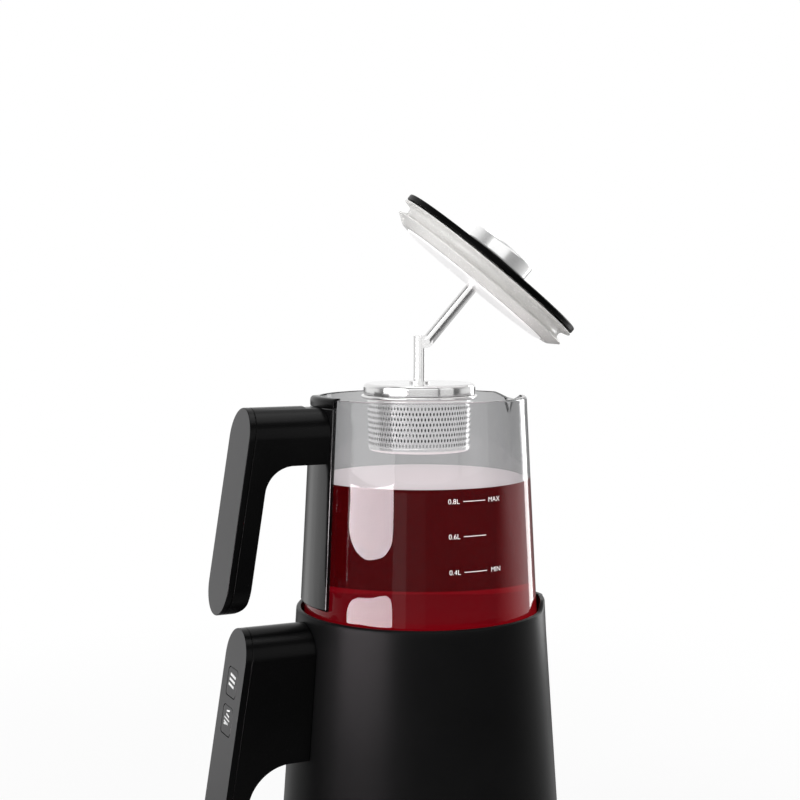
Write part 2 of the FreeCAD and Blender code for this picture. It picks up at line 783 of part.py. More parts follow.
def pot_glass():
    body = new_body("pot_glass")
    foot_radius = "size.pot_rim_radius + size.pot_flare"
    revolve(body, "outside", [
        ("0", POT_FOOT),
        (foot_radius, POT_FOOT, "size.pot_corner"),
        ("size.pot_rim_radius", POT_RIM, "size.glass_wall * 0.45"),
        ("0", POT_RIM),
    ])
    low = f"{POT_RIM} - size.pot_spout_height"
    back = "size.pot_rim_radius * 0.85"
    tip = "size.pot_rim_radius + size.pot_spout_reach"
    beak(body, "spout", [
        (low, back, f"{pot_radius(low)} - size.glass_wall / 2", "size.pot_spout_half_width / 3"),
        (POT_RIM, back, tip, "size.pot_spout_half_width"),
    ])
    wall = "size.glass_wall"
    floor = f"({POT_FOOT} + size.pot_floor)"
    above = f"{POT_RIM} + size.pot_spout_dip"
    revolve(body, "inside", [
        ("0", floor),
        (f"{pot_radius(floor)} - {wall}", floor, "size.pot_corner - size.glass_wall"),
        (f"size.pot_rim_radius - {wall}", POT_RIM),
        ("0", POT_RIM),
    ], kind="PartDesign::Groove")
    beak(body, "channel", [
        (f"{low} + {wall}", back, f"{pot_radius(low)} - {wall}", "size.pot_spout_half_width / 4"),
        (above, back, f"{tip} - {wall} / 2", f"size.pot_spout_half_width - {wall} / 2"),
    ], cut=True)
    notch = new_sketch(body, "notch", "YZ_Plane", "size.pot_rim_radius / 2")
    wide = "size.pot_notch_half_width"
    outline(notch, [
        ("0", f"{POT_RIM} - size.pot_spout_dip", "size.pot_notch_round"),
        (f"{wide} * 2", f"{POT_RIM} + size.pot_spout_dip"),
        (f"-{wide} * 2", f"{POT_RIM} + size.pot_spout_dip"),
    ])
    pocket(body, notch, "size.pot_rim_radius", reverse=True)


STRAP_ANGLE = f"(2 * asin({HALF_WIDTH} / size.pot_rim_radius))"
STRAP_INNER = "size.fit_gap"
STRAP_OUTER = "(size.fit_gap + size.strap_wall)"


def pot_strap():
    body = new_body("pot_strap")
    low = f"({POT_ARM_TOP} - size.pot_handle_length - size.rest_gap)"
    high = f"({POT_RIM} - size.clip_height - size.fit_gap)"
    revolve(body, "band", [
        (f"-({pot_radius(low)} + {STRAP_INNER})", low),
        (f"-({pot_radius(high)} + {STRAP_INNER})", high),
        (f"-({pot_radius(high)} + {STRAP_OUTER})", high),
        (f"-({pot_radius(low)} + {STRAP_OUTER})", low, "size.strap_wall / 2"),
    ], angle=STRAP_ANGLE, both_ways=True)


def pot_clip():
    body = new_body("pot_clip")
    under = f"({POT_RIM} - size.clip_height)"
    top = f"({POT_RIM} + size.clip_cover)"
    inner = f"({pot_radius(POT_RIM)} - size.glass_wall - size.fit_gap)"
    outer = f"({pot_radius(under)} + size.fit_gap)"
    far = "size.pot_rim_radius + size.clip_reach"
    tongue = f"{inner} - size.clip_tongue"
    revolve(body, "hook", [
        (f"-({far})", under),
        (f"-({far})", top, "size.strap_wall"),
        (f"-({tongue})", top, "size.clip_tongue / 2"),
        (f"-({tongue})", f"{POT_RIM} - size.clip_tongue_depth"),
        (f"-{inner}", f"{POT_RIM} - size.clip_tongue_depth"),
        (f"-{inner}", f"{POT_RIM} + size.fit_gap"),
        (f"-{outer}", f"{POT_RIM} + size.fit_gap"),
        (f"-{outer}", under),
    ], angle=STRAP_ANGLE, both_ways=True)


def pot_handle():
    gap = "size.fit_gap"
    foot = f"{POT_ARM_TOP} - size.pot_handle_length"
    under = f"({POT_RIM} - size.clip_height - size.fit_gap)"
    strap = f"({STRAP_OUTER} + {gap})"
    above = f"({POT_RIM} + size.handle_width)"
    hug = [
        ("0", foot),
        (f"{pot_radius(foot)} + {strap}", foot),
        (f"{pot_radius(under)} + {strap}", under),
        (f"size.pot_rim_radius + size.clip_reach + {gap}", under),
        (f"size.pot_rim_radius + size.clip_reach + {gap}", above),
        ("0", above),
    ]
    handle_body(
        "pot_handle", "size.pot_handle_reach", POT_ARM_TOP, "size.pot_handle_length",
        "size.pot_arm_height", "size.pot_grip_corner", "size.pot_rim_radius", hug)


def pot_handle_cover():
    handle_cover("pot_handle_cover", "size.pot_handle_reach", POT_ARM_TOP, "size.pot_handle_length")


# Infuser and lid. They are drawn upright with the knee's pin along Y, and turned into
# place: the infuser about the teapot's axis, and the lid about the knee as well.

CAP_TOP = f"({POT_RIM} + size.cap_rise)"
CAP_FOOT = f"({CAP_TOP} - size.cap_height)"
FLANGE_FOOT = f"({CAP_FOOT} - size.flange_height)"
BASKET_FOOT = f"({FLANGE_FOOT} - size.basket_depth)"


def turned(body):
    """Turn an upright piece so that its knee pin runs along the line of sight."""
    turn = Rotation(Vector(0, 0, 1), value("size.view_turn"))
    shift = turn.multVec(Vector(value("size.infuser_shift"), 0, 0))
    body.Placement = Placement(shift, turn)


def tilted(body):
    """Tilt a piece of the lid, drawn with the knee at its origin, about the knee."""
    turn = Rotation(Vector(0, 0, 1), value("size.view_turn"))
    tilt = Rotation(Vector(0, 1, 0), value("size.lid_tilt"))
    across = value("size.infuser_shift + size.knee_offset")
    knee = turn.multVec(Vector(across, 0, value(KNEE)))
    body.Placement = Placement(knee, turn.multiply(tilt))


def ear(body, name, corners_or_centre, front):
    """Pad a flat ear on one side of the plane in which the lid tilts."""
    side = "size.joint_gap / 2" if front else "-(size.joint_gap / 2)"
    sketch = new_sketch(body, name, "XZ_Plane", side)
    if len(corners_or_centre) == 1:
        circles(sketch, "size.rod_radius", corners_or_centre)
    else:
        outline(sketch, corners_or_centre)
    pad(body, sketch, "size.ear_thickness", reverse=not front)


def lap(body, left, low, high, front):
    """Cut a rod away on one side of the tilt plane, to the right of a line."""
    sketch = new_sketch(body, "lap", "XY_Plane", low)
    beyond = "size.rod_radius * 1.5"
    face = "size.joint_gap / 2"
    if front:
        box_outline(sketch, left, beyond, f"-({beyond})", face)
    else:
        box_outline(sketch, left, beyond, f"-({face})", beyond)
    pocket(body, sketch, f"{high} - ({low})", reverse=True)


def pin_hole(body, across, height):
    """Bore a rod for the knee's pin."""
    sketch = new_sketch(body, "pin_hole", "XZ_Plane")
    circles(sketch, "size.pin_radius + size.pin_gap", [(across, height)])
    pocket(body, sketch, both_ways=True)


def infuser_rod():
    """The upright rod. Its rear ear carries the knee's pin, beside the rod."""
    body = new_body("infuser_rod")
    radius = "size.rod_radius"
    top = f"({KNEE} + {radius})"
    revolve(body, "rod", [
        ("0", CAP_TOP),
        ("size.rod_foot_radius", CAP_TOP),
        ("size.rod_foot_radius", f"{CAP_TOP} + size.rod_foot_height"),
        (radius, f"{CAP_TOP} + size.rod_foot_height"),
        (radius, top, "size.rod_edge"),
        ("0", top),
    ])
    left = f"size.knee_offset - {radius} - size.joint_gap"
    low = f"{KNEE} - {radius} - size.joint_gap"
    lap(body, left, low, f"{top} + {radius}", True)
    end = f"size.knee_offset + {radius}"
    round_end = f"{radius} - 0.01"
    ear(body, "ear", [
        ("0", f"{KNEE} - {radius}"),
        (end, f"{KNEE} - {radius}", round_end),
        (end, f"{KNEE} + {radius}", round_end),
        ("0", f"{KNEE} + {radius}"),
    ], False)
    pin_hole(body, "size.knee_offset", KNEE)
    turned(body)


def knee_pin():
    body = new_body("knee_pin")
    reach = "(size.ear_thickness + size.joint_gap / 2 + size.pin_head)"
    sketch = new_sketch(body, "pin", "XZ_Plane")
    circles(sketch, "size.pin_radius", [("size.knee_offset", KNEE)])
    pad(body, sketch, f"{reach} * 2", both_ways=True)
    turned(body)


def infuser_cap():
    body = new_body("infuser_cap")
    skirt = "(size.basket_radius - size.basket_wall - size.basket_taper / 2 - size.joint_gap)"
    low = f"{FLANGE_FOOT} - size.cap_skirt"
    revolve(body, "cap", [
        ("0", f"{CAP_FOOT} + size.joint_gap"),
        (f"{skirt} - size.dish_wall", f"{CAP_FOOT} + size.joint_gap"),
        (f"{skirt} - size.dish_wall", low),
        (skirt, low),
        (skirt, f"{CAP_FOOT} + size.joint_gap"),
        ("size.cap_radius", f"{CAP_FOOT} + size.joint_gap"),
        ("size.cap_radius", CAP_TOP, "size.cap_edge"),
        ("0", CAP_TOP),
    ])
    turned(body)


def basket_rim():
    body = new_body("basket_rim")
    inner = "size.basket_radius + size.fit_gap / 2"
    revolve(body, "flange", ring(inner, "size.flange_radius", FLANGE_FOOT, CAP_FOOT,
                                 "size.flange_height / 2 - 0.01"))
    turned(body)


def basket_wall():
    body = new_body("basket_wall")
    low_radius = "(size.basket_radius - size.basket_taper)"
    floor = f"{BASKET_FOOT} + size.basket_wall"
    revolve(body, "wall", [
        ("0", BASKET_FOOT),
        (low_radius, BASKET_FOOT, "size.basket_corner"),
        ("size.basket_radius", CAP_FOOT),
        ("size.basket_radius - size.basket_wall", CAP_FOOT),
        (f"{low_radius} - size.basket_wall", floor, "size.basket_corner - size.basket_wall"),
        ("0", floor),
    ])
    turned(body)


# Heights on the lid are measured from the knee, along the lid's own axis
LID_LOW = "(size.lid_arm - size.lid_wall / 2)"
LID_HIGH = "(size.lid_arm + size.lid_wall / 2)"
DISH_FOOT = f"({LID_LOW} - size.dish_depth)"
BOSS_TOP = f"({LID_HIGH} + size.lid_boss_height)"


def lid_rod():
    """The lid's rod. Its front ear turns on the knee's pin."""
    body = new_body("lid_rod")
    radius = "size.rod_radius"
    clear = f"{radius} + size.joint_gap"
    revolve(body, "rod", ring("0", radius, "0", DISH_FOOT))
    lap(body, f"-{radius} * 1.5", "0", clear, False)
    ear(body, "ear", [("0", "0")], True)
    pin_hole(body, "0", "0")
    tilted(body)


def lid_plate():
    body = new_body("lid_plate")
    bore = "size.knob_stem_radius + size.fit_gap"
    revolve(body, "disc", ring(bore, "size.lid_radius", LID_LOW, LID_HIGH, "size.lid_wall * 0.2"))
    tilted(body)


def lid_boss():
    body = new_body("lid_boss")
    bore = "size.knob_stem_radius + size.fit_gap"
    revolve(body, "disc", ring(bore, "size.lid_boss_radius", LID_HIGH, BOSS_TOP))
    tilted(body)


def lid_knob():
    body = new_body("lid_knob")
    top = f"{BOSS_TOP} + size.knob_height"
    stem = "size.knob_stem_radius"
    revolve(body, "knob", [
        ("0", LID_LOW),
        (stem, LID_LOW),
        (stem, BOSS_TOP),
        ("size.knob_radius", BOSS_TOP, "size.knob_edge / 2"),
        ("size.knob_radius", top, "size.knob_edge"),
        ("0", top),
    ])
    tilted(body)


def lid_hub():
    body = new_body("lid_hub")
    low = f"{DISH_FOOT} + size.dish_wall"
    revolve(body, "hub", ring("0", "size.hub_radius", low, LID_LOW))
    tilted(body)


def lid_dish():
    body = new_body("lid_dish")
    wall = "size.dish_wall"
    revolve(body, "bowl", [
        ("0", DISH_FOOT),
        ("size.dish_radius", DISH_FOOT, "size.dish_corner"),
        ("size.dish_radius", LID_LOW),
        (f"size.dish_radius - {wall}", LID_LOW),
        (f"size.dish_radius - {wall}", f"{DISH_FOOT} + {wall}", f"size.dish_corner - {wall}"),
        ("0", f"{DISH_FOOT} + {wall}"),
    ])
    tilted(body)


def lid_seal():
    body = new_body("lid_seal")
    inner = "size.dish_radius + size.fit_gap"
    foot = "size.seal_foot_radius"
    groove = "size.seal_groove_radius"
    upper = "size.seal_upper_lip"
    lower = "size.seal_lower_lip"
    wall = "size.seal_wall"
    lip = f"{LID_LOW} - size.seal_lip_depth"
    revolve(body, "lips", [
        (inner, f"{DISH_FOOT} + size.dish_corner"),
        (foot, f"{DISH_FOOT} + size.dish_corner / 2"),
        (lower, lip),
        (lower, f"{lip} + {wall} / 2"),
        (groove, f"{lip} + {wall} * 2"),
        (groove, f"{LID_LOW} - {wall} * 2.6"),
        (upper, f"{LID_LOW} - {wall} * 1.4"),
        (upper, f"{LID_LOW} - {wall} * 0.8"),
        (inner, LID_LOW),
    ])
    tilted(body)


def build():
    base_housing()
    base_underplate()
    base_feet()
    base_connector()
    base_gland()
    kettle_coupler()
    kettle_shell()
    kettle_collar()
    kettle_liner()
    kettle_bottom_cover()
    heater_plate()
    thermostat()
    kettle_handle()
    kettle_handle_cover()
    button("button_upper", 0)
    button("button_lower", 1)
    control_board()
    pot_glass()
    pot_strap()
    pot_clip()
    pot_handle()
    pot_handle_cover()
    infuser_rod()
    knee_pin()
    infuser_cap()
    basket_rim()
    basket_wall()
    lid_rod()
    lid_plate()
    lid_boss()
    lid_knob()
    lid_hub()
    lid_dish()
    lid_seal()
    doc.recompute()


def check():
    """Stop if any feature failed or any sub-part's solid is missing or invalid."""
    for item in doc.Objects:
        if "Invalid" in item.State or "Error" in item.State:
            raise RuntimeError(f"{item.Name} is {item.State}")
    for node in nodes:
        shape = node.Shape
        if shape.isNull() or not shape.isValid() or not shape.Solids:
            raise RuntimeError(f"{node.Label} has no valid solid")


build()
check()
for node in nodes:
    node.Shape.exportStep(f"parts/{node.Label}.step")
print(len(nodes), "sub-parts written")
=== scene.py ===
import json
import math

import bpy
from mathutils import Euler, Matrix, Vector

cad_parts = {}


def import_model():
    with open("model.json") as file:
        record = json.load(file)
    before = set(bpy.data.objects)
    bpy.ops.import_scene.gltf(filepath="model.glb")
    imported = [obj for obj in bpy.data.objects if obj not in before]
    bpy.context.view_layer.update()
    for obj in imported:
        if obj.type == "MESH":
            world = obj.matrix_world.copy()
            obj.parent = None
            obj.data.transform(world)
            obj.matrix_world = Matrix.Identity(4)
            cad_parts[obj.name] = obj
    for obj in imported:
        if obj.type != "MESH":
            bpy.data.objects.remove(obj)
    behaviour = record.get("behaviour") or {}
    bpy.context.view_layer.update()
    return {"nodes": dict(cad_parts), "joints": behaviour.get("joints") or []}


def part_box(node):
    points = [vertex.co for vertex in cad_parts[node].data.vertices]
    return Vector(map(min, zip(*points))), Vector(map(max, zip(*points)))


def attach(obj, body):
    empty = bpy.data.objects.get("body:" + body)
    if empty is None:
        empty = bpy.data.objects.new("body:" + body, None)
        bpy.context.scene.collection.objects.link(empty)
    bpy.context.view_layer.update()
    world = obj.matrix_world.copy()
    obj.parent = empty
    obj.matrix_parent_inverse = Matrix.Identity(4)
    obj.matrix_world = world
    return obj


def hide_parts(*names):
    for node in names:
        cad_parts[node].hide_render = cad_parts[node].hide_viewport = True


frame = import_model()

# Tea maker, dressed for the render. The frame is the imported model: metres, +Z up, the
# teapot's axis on the origin, spouts towards +X and handles towards -X.

MM = 0.001
nodes = frame["nodes"]
joints = {joint["name"]: joint for joint in frame["joints"]}

# Camera, from the ellipses of the rim, the tea and the collar in the photograph, and the
# directions to the right of its view and along it, on the level
VIEW_TURN = math.radians(-25)
CAMERA_PLACE = (-0.3454, -0.7139, 0.364)
CAMERA_TURN = (math.radians(86), 0, VIEW_TURN)
CAMERA_LENS = 64.85
VIEW_RIGHT = (math.cos(VIEW_TURN), math.sin(VIEW_TURN), 0)
VIEW_FORWARD = (-math.sin(VIEW_TURN), math.cos(VIEW_TURN), 0)

# Teapot and tea. The glass rim stands 4.5 mm above the strap. The tea's painted glow at its foot
# ends at the band, which dips towards the far wall, and its painted glow at the right edge starts
# at a place to the right.
POT_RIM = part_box("pot_strap")[1][2] + 4.5 * MM
POT_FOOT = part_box("pot_glass")[0][2]
POT_RIM_RADIUS = 58.3 * MM
POT_SLOPE = 6.75 / 127.2
GLASS_WALL = 2.4 * MM
POT_FLOOR = POT_FOOT + 2.8 * MM
TEA_LEVEL = 266.3 * MM
TEA_OVERLAP = 0.06 * MM
TEA_ROUNDING = 4.5 * MM
TEA_GLOW_BAND = 210.0 * MM
TEA_GLOW_BAND_DIP = 0.07
TEA_GLOW_EDGE = 38 * MM

# Clip: its radii, half its width, and its heights from the teapot's rim
CLIP_OUTER = 61.1 * MM
CLIP_INNER = 56.4 * MM
CLIP_HALF = 16 * MM
CLIP_UNDER = POT_RIM - 4.4 * MM
CLIP_STEP = POT_RIM + 0.1 * MM
CLIP_TOP = POT_RIM + 0.9 * MM

# Kettle shell and its hood: the rim, which the CAD hood tops by 4.5 mm, the wall, the lip's
# half angle, its shoulders and where they end, its size, and the rings' drops below the rim
KETTLE_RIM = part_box("kettle_shell")[1][2] - 4.5 * MM
SHELL_RADIUS = 68.85 * MM
SHELL_FLARE = 12.2 * MM
SHELL_WALL = 2.6 * MM
HOOD_LIP = math.radians(23)
HOOD_SHOULDER = math.radians(33)
HOOD_END = math.radians(46)
HOOD_REACH = 5.5 * MM
HOOD_RISE = 4.0 * MM
HOOD_DEPTH = 48 * MM
HOOD_RIM_DEPTH = 16 * MM
SHELL_RINGS = (48, 40, 33, 27, 21, 16, 11, 7, 4)

# Level scale printed on the near wall: height in millimetres, number, word. The gaps are from
# a stroke's end to the middle of the letters.
SCALE = ((260.2, "0.8L", "MAX"), (242.1, "0.6L", ""), (223.7, "0.4L", "MIN"))
SCALE_LINE = (math.radians(-94.6), math.radians(-82.5))
SCALE_LETTER = 3.7 * MM
SCALE_THINNING = -0.03 * MM
STROKE_WIDTH = 0.34 * MM
AMOUNT_GAP = 5.2 * MM
WORD_GAP = 5.8 * MM
INK = 0.05 * MM

# Lid, in its own frame: the knee is the origin and its axis is Z
LID_TILT = math.radians(39.4)
LID_ARM = 54.8 * MM
KNEE = Vector(joints["lid_tilt"]["pos_m"])
SEAL = (
    (47.5, -14.2, 0.0), (51.3, -13.9, 0.5), (56.4, -10.4, 0.0), (57.0, -10.1, 0.25),
    (56.9, -9.5, 0.25), (53.4, -8.3, 0.8), (52.7, -6.4, 1.0), (53.3, -4.4, 1.0),
    (57.6, -3.2, 0.25), (58.1, -2.8, 0.25), (58.0, -2.4, 0.2), (50.0, -1.6, 0.2),
    (47.5, -1.6, 0.0),
)

# Basket: rows of oval holes in a thin drawn cup, made of cells whose corners are merged
BASKET_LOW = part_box("basket_wall")[0][2]
BASKET_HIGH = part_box("basket_wall")[1][2]
BASKET_RADIUS = 28.7 * MM
BASKET_TAPER = 0.9 * MM
BASKET_SHEET = 0.5 * MM
HOLE_COUNT = 96
HOLE_ROWS = 8
HOLE_WIDE = 0.95 * MM
HOLE_TALL = 1.9 * MM
ROW_PITCH = 2.85 * MM
PLAIN_FOOT = 3.0 * MM
FOOT_STEP = 0.25 * MM
MERGE = 0.03 * MM

# Handles, whose faces lean, and the symbols on the buttons: heights, the bars' size, the
# spaces between them, and how far one end of a bar stands above the other
LEAN = math.radians(9)
COVER_FACE = -105.6 * MM
UPPER_SYMBOL = 164.0 * MM
LOWER_SYMBOL = 144.0 * MM
BAR = (8.4 * MM, 1.35 * MM)
BAR_PITCH = 2.6 * MM
BAR_SHIFT = 0.6 * MM
RULE = (8.0 * MM, 0.7 * MM)
MARK_HEIGHTS = (2.0 * MM, 3.5 * MM, -2.0 * MM, -3.5 * MM)
MARK_SHORT, MARK_LONG, MARK_TALL = 4.6 * MM, 6.4 * MM, 0.9 * MM
SLANT = 0.9 * MM
ICON = 0.06 * MM


# Materials

class Wire:
    """A node's output that can be used in Python sums."""

    def __init__(self, finish, socket):
        self.finish = finish
        self.socket = socket

    def sum(self, operation, first, second):
        return self.finish.node("ShaderNodeMath", {"operation": operation}, {0: first, 1: second})

    def __add__(self, other):
        return self.sum("ADD", self, other)

    def __radd__(self, other):
        return self.sum("ADD", other, self)

    def __sub__(self, other):
        return self.sum("SUBTRACT", self, other)

    def __rsub__(self, other):
        return self.sum("SUBTRACT", other, self)

    def __mul__(self, other):
        return self.sum("MULTIPLY", self, other)

    def __rmul__(self, other):
        return self.sum("MULTIPLY", other, self)

    def __truediv__(self, other):
        return self.sum("DIVIDE", self, other)

    def __rtruediv__(self, other):
        return self.sum("DIVIDE", other, self)


class Finish:
    """A material, or the world, while its nodes are wired."""

    def __init__(self, name, holder=None):
        self.holder = holder or bpy.data.materials.new(name)
        self.holder.use_nodes = True
        self.tree = self.holder.node_tree

    def node(self, kind, settings=None, sockets=None, output=0):
        """Add a node of a kind: its settings first, then the values or links of its sockets."""
        added = self.tree.nodes.new(kind)
        for setting, choice in (settings or {}).items():
            setattr(added, setting, choice)
        for socket, source in (sockets or {}).items():
            self.plug(added.inputs[socket], source)
        return Wire(self, added.outputs[output])

    def plug(self, socket, source):
        if isinstance(source, Wire):
            self.tree.links.new(source.socket, socket)
        elif isinstance(source, tuple) and len(source) == 3 and socket.type == "RGBA":
            socket.default_value = (*source, 1)
        else:
            socket.default_value = source

    def shade(self, **inputs):
        """Set the Principled shader's sockets, named with underscores for spaces."""
        shader = self.tree.nodes["Principled BSDF"]
        for name, source in inputs.items():
            self.plug(shader.inputs[name.replace("_", " ")], source)

    def place(self):
        return self.node("ShaderNodeTexCoord", output="Object")

    def noise(self, scale, detail=2.0, stretch=(1, 1, 1)):
        """Noise on Object coordinates, with its features stretched along the axes."""
        mapping = self.node("ShaderNodeMapping", {}, {"Vector": self.place(), "Scale": stretch})
        sockets = {"Vector": mapping, "Scale": scale, "Detail": detail}
        return self.node("ShaderNodeTexNoise", {}, sockets)

    def bump(self, height, distance, strength):
        sockets = {"Height": height, "Distance": distance, "Strength": strength}
        return self.node("ShaderNodeBump", {}, sockets)

    def mix(self, factor, low, high, kind="MIX"):
        """Blend two colours."""
        settings = {"data_type": "RGBA", "blend_type": kind}
        return self.node("ShaderNodeMix", settings, {0: factor, 6: low, 7: high}, 2)

    def within(self, share):
        """A share, held between 0 and 1."""
        return self.node("ShaderNodeClamp", {}, {0: share})

    def dot(self, vector, direction):
        """How far a vector reaches in a direction."""
        sockets = {0: vector, 1: direction}
        return self.node("ShaderNodeVectorMath", {"operation": "DOT_PRODUCT"}, sockets, 1)

    def ramp(self, value, start, end, low, high):
        """A smooth step from a low to a high result between two values."""
        sockets = {0: value, 1: start, 2: end, 3: low, 4: high}
        return self.node("ShaderNodeMapRange", {"interpolation_type": "SMOOTHSTEP"}, sockets)

    def larger(self, first, second):
        return self.node("ShaderNodeMath", {"operation": "MAXIMUM"}, {0: first, 1: second})

    def light_path(self, kind):
        return self.node("ShaderNodeLightPath", output=kind)

    def surface(self, shader):
        self.plug(self.tree.nodes["Material Output"].inputs["Surface"], shader)


def moulded(name, colour, roughness, grain=0.010 * MM, shine=0.5):
    """Moulded plastic: a fine spark-eroded grain and slightly uneven sheen."""
    finish = Finish(name)
    fine = finish.noise(3200, 3)
    broad = finish.noise(35, 2)
    lighter = tuple(min(1, channel * 1.25 + 0.001) for channel in colour)
    finish.shade(
        Base_Color=finish.mix(broad, colour, lighter),
        Roughness=roughness - 0.04 + fine * 0.05 + broad * 0.04,
        Normal=finish.bump(fine, grain, 0.5),
        Specular_IOR_Level=shine,
    )
    return finish.holder


def polished_steel(name, roughness, brush=0.0, metal=1.0, glow=0.0):
    """Steel or aluminium, with fine turning lines round the axis where brushed.

    The glow is a painted reflection: light of its own that stands for the white room that small
    or curved faces mirror.
    """
    finish = Finish(name)
    smudge = finish.noise(60, 3)
    lines = finish.noise(900, 2, (0.05, 0.05, 3.0))
    finish.shade(
        Base_Color=finish.mix(smudge, (0.72, 0.715, 0.71), (0.80, 0.80, 0.80)),
        Metallic=metal,
        Roughness=roughness + smudge * 0.05 + lines * brush,
        Emission_Color=(glow, glow, glow),
        Emission_Strength=1.0,
        Normal=finish.bump(lines, 0.004 * MM, 0.3 if brush else 0.08),
    )
    return finish.holder


def smoked_glass():
    """Glass that reads as grey, and darker where it is seen at a slant."""
    finish = Finish("smoked_glass")
    wave = finish.noise(14, 1)
    facing = finish.node("ShaderNodeLayerWeight", {}, {0: 0.5}, 1)
    edge = finish.within((facing - 0.15) * 2)
    finish.shade(
        Base_Color=finish.mix(edge, (0.75, 0.75, 0.755), (0.38, 0.38, 0.385)),
        Roughness=0.0,
        IOR=1.47,
        Transmission_Weight=1.0,
        Specular_Tint=(0.5, 0.5, 0.5),
        Normal=finish.bump(wave, 0.05 * MM, 0.25),
    )
    return finish.holder


def brewed_tea():
    """Dark red tea, with a painted glow at its foot and at its right edge, standing for light
    that comes through.
    """
    finish = Finish("brewed_tea")
    place = finish.place()
    height = finish.node("ShaderNodeSeparateXYZ", {}, {0: place}, 2)
    along = finish.dot(place, VIEW_FORWARD)
    # Painted glow: a bright foot below the band and a bright right edge, on the outer side only
    low = finish.within((TEA_GLOW_BAND - height - along * TEA_GLOW_BAND_DIP) * 1500)
    right = finish.within((finish.dot(place, VIEW_RIGHT) - TEA_GLOW_EDGE) * 45)
    outside = 1 - finish.node("ShaderNodeNewGeometry", output="Backfacing")
    foot = finish.mix(low * outside, (0, 0, 0), (0.14, 0.001, 0.004))
    edge = finish.mix(right * outside, (0, 0, 0), (0.20, 0.006, 0.008))
    cloud = finish.noise(30, 2)
    finish.shade(
        Base_Color=finish.mix(cloud, (0.15, 0.002, 0.004), (0.19, 0.003, 0.006)),
        Roughness=0.02,
        IOR=1.34,
        Transmission_Weight=1.0,
        Specular_Tint=(0.3, 0.3, 0.3),
        Emission_Color=finish.mix(1.0, foot, edge, "ADD"),
        Emission_Strength=1.0,
    )
    return finish.holder


def tea_surface():
    """The tea's level face, with a painted reflection of the pale room over the red: a pale
    colour and a glow of its own.
    """
    finish = Finish("tea_surface")
    ripple = finish.noise(26, 2)
    finish.shade(
        Base_Color=finish.mix(ripple, (0.86, 0.70, 0.73), (0.90, 0.78, 0.80)),
        Roughness=0.12,
        Emission_Color=(0.36, 0.33, 0.34),
        Emission_Strength=1.0,
        Normal=finish.bump(ripple, 0.05 * MM, 0.3),
    )
    return finish.holder


def milky_silicone():
    """Cloudy silicone that lets a little light in."""
    finish = Finish("milky_silicone")
    cloud = finish.noise(45, 2)
    fine = finish.noise(1800, 2)
    finish.shade(
        Base_Color=finish.mix(cloud, (0.86, 0.85, 0.83), (0.92, 0.915, 0.90)),
        Roughness=0.22 + fine * 0.08,
        IOR=1.41,
        Transmission_Weight=0.35,
        Normal=finish.bump(fine, 0.006 * MM, 0.4),
    )
    return finish.holder


def printed_ink(name, colour, glow=0.0):
    """Printed white, with a painted glow, a little light of its own, where it has to read on the
    tea.
    """
    finish = Finish(name)
    speck = finish.noise(2600, 2)
    dimmer = tuple(channel * 0.9 for channel in colour)
    finish.shade(
        Base_Color=finish.mix(speck, dimmer, colour),
        Roughness=0.5 + speck * 0.1,
        Emission_Color=(glow, glow, glow),
        Emission_Strength=1.0,
    )
    return finish.holder


SATIN_BLACK = moulded("satin_black", (0.0050, 0.0050, 0.0052), 0.30, shine=0.05)
HANDLE_BLACK = moulded("handle_black", (0.0016, 0.0016, 0.0017), 0.24, shine=0.10)
DULL_BLACK = moulded("dull_black", (0.016, 0.016, 0.017), 0.55, 0.02 * MM)
COVER_GREY = moulded("cover_grey", (0.021, 0.021, 0.022), 0.38, shine=0.3)
RUBBER_GREY = moulded("rubber_grey", (0.05, 0.05, 0.05), 0.75, 0.03 * MM)
BOARD_GREEN = moulded("board_green", (0.02, 0.11, 0.05), 0.5)
LID_BLACK = moulded("lid_black", (0.0010, 0.0010, 0.0010), 0.30, shine=0.03)
GLOSS_BLACK = moulded("gloss_black", (0.0024, 0.0024, 0.0026), 0.12, 0.004 * MM, shine=0.5)
POLISHED = polished_steel("polished_steel", 0.09, metal=0.85)
# drawn_steel, knob_steel and dish_steel glow with a painted reflection of the white room
DRAWN = polished_steel("drawn_steel", 0.14, 0.05, metal=0.85, glow=0.33)
# Painted shade: a dark finish for the basket's insides and the sides of its holes
SHADED = moulded("shaded_steel", (0.02, 0.02, 0.02), 0.5, shine=0.2)
BRUSHED = polished_steel("brushed_steel", 0.20, 0.12)
KNOB = polished_steel("knob_steel", 0.16, 0.04, metal=0.75, glow=0.22)
DISH = polished_steel("dish_steel", 0.30, 0.08, metal=0.7, glow=0.50)
CAST = polished_steel("cast_aluminium", 0.36, 0.15)
GLASS = smoked_glass()
TEA = brewed_tea()
TEA_TOP_PAINTED_REFLECTION = tea_surface()
SILICONE = milky_silicone()
WHITE_INK = printed_ink("white_ink", (0.86, 0.86, 0.86))
# The scale's print has a painted glow, to read on the tea
SCALE_INK = printed_ink("scale_ink", (0.86, 0.86, 0.86), 0.45)

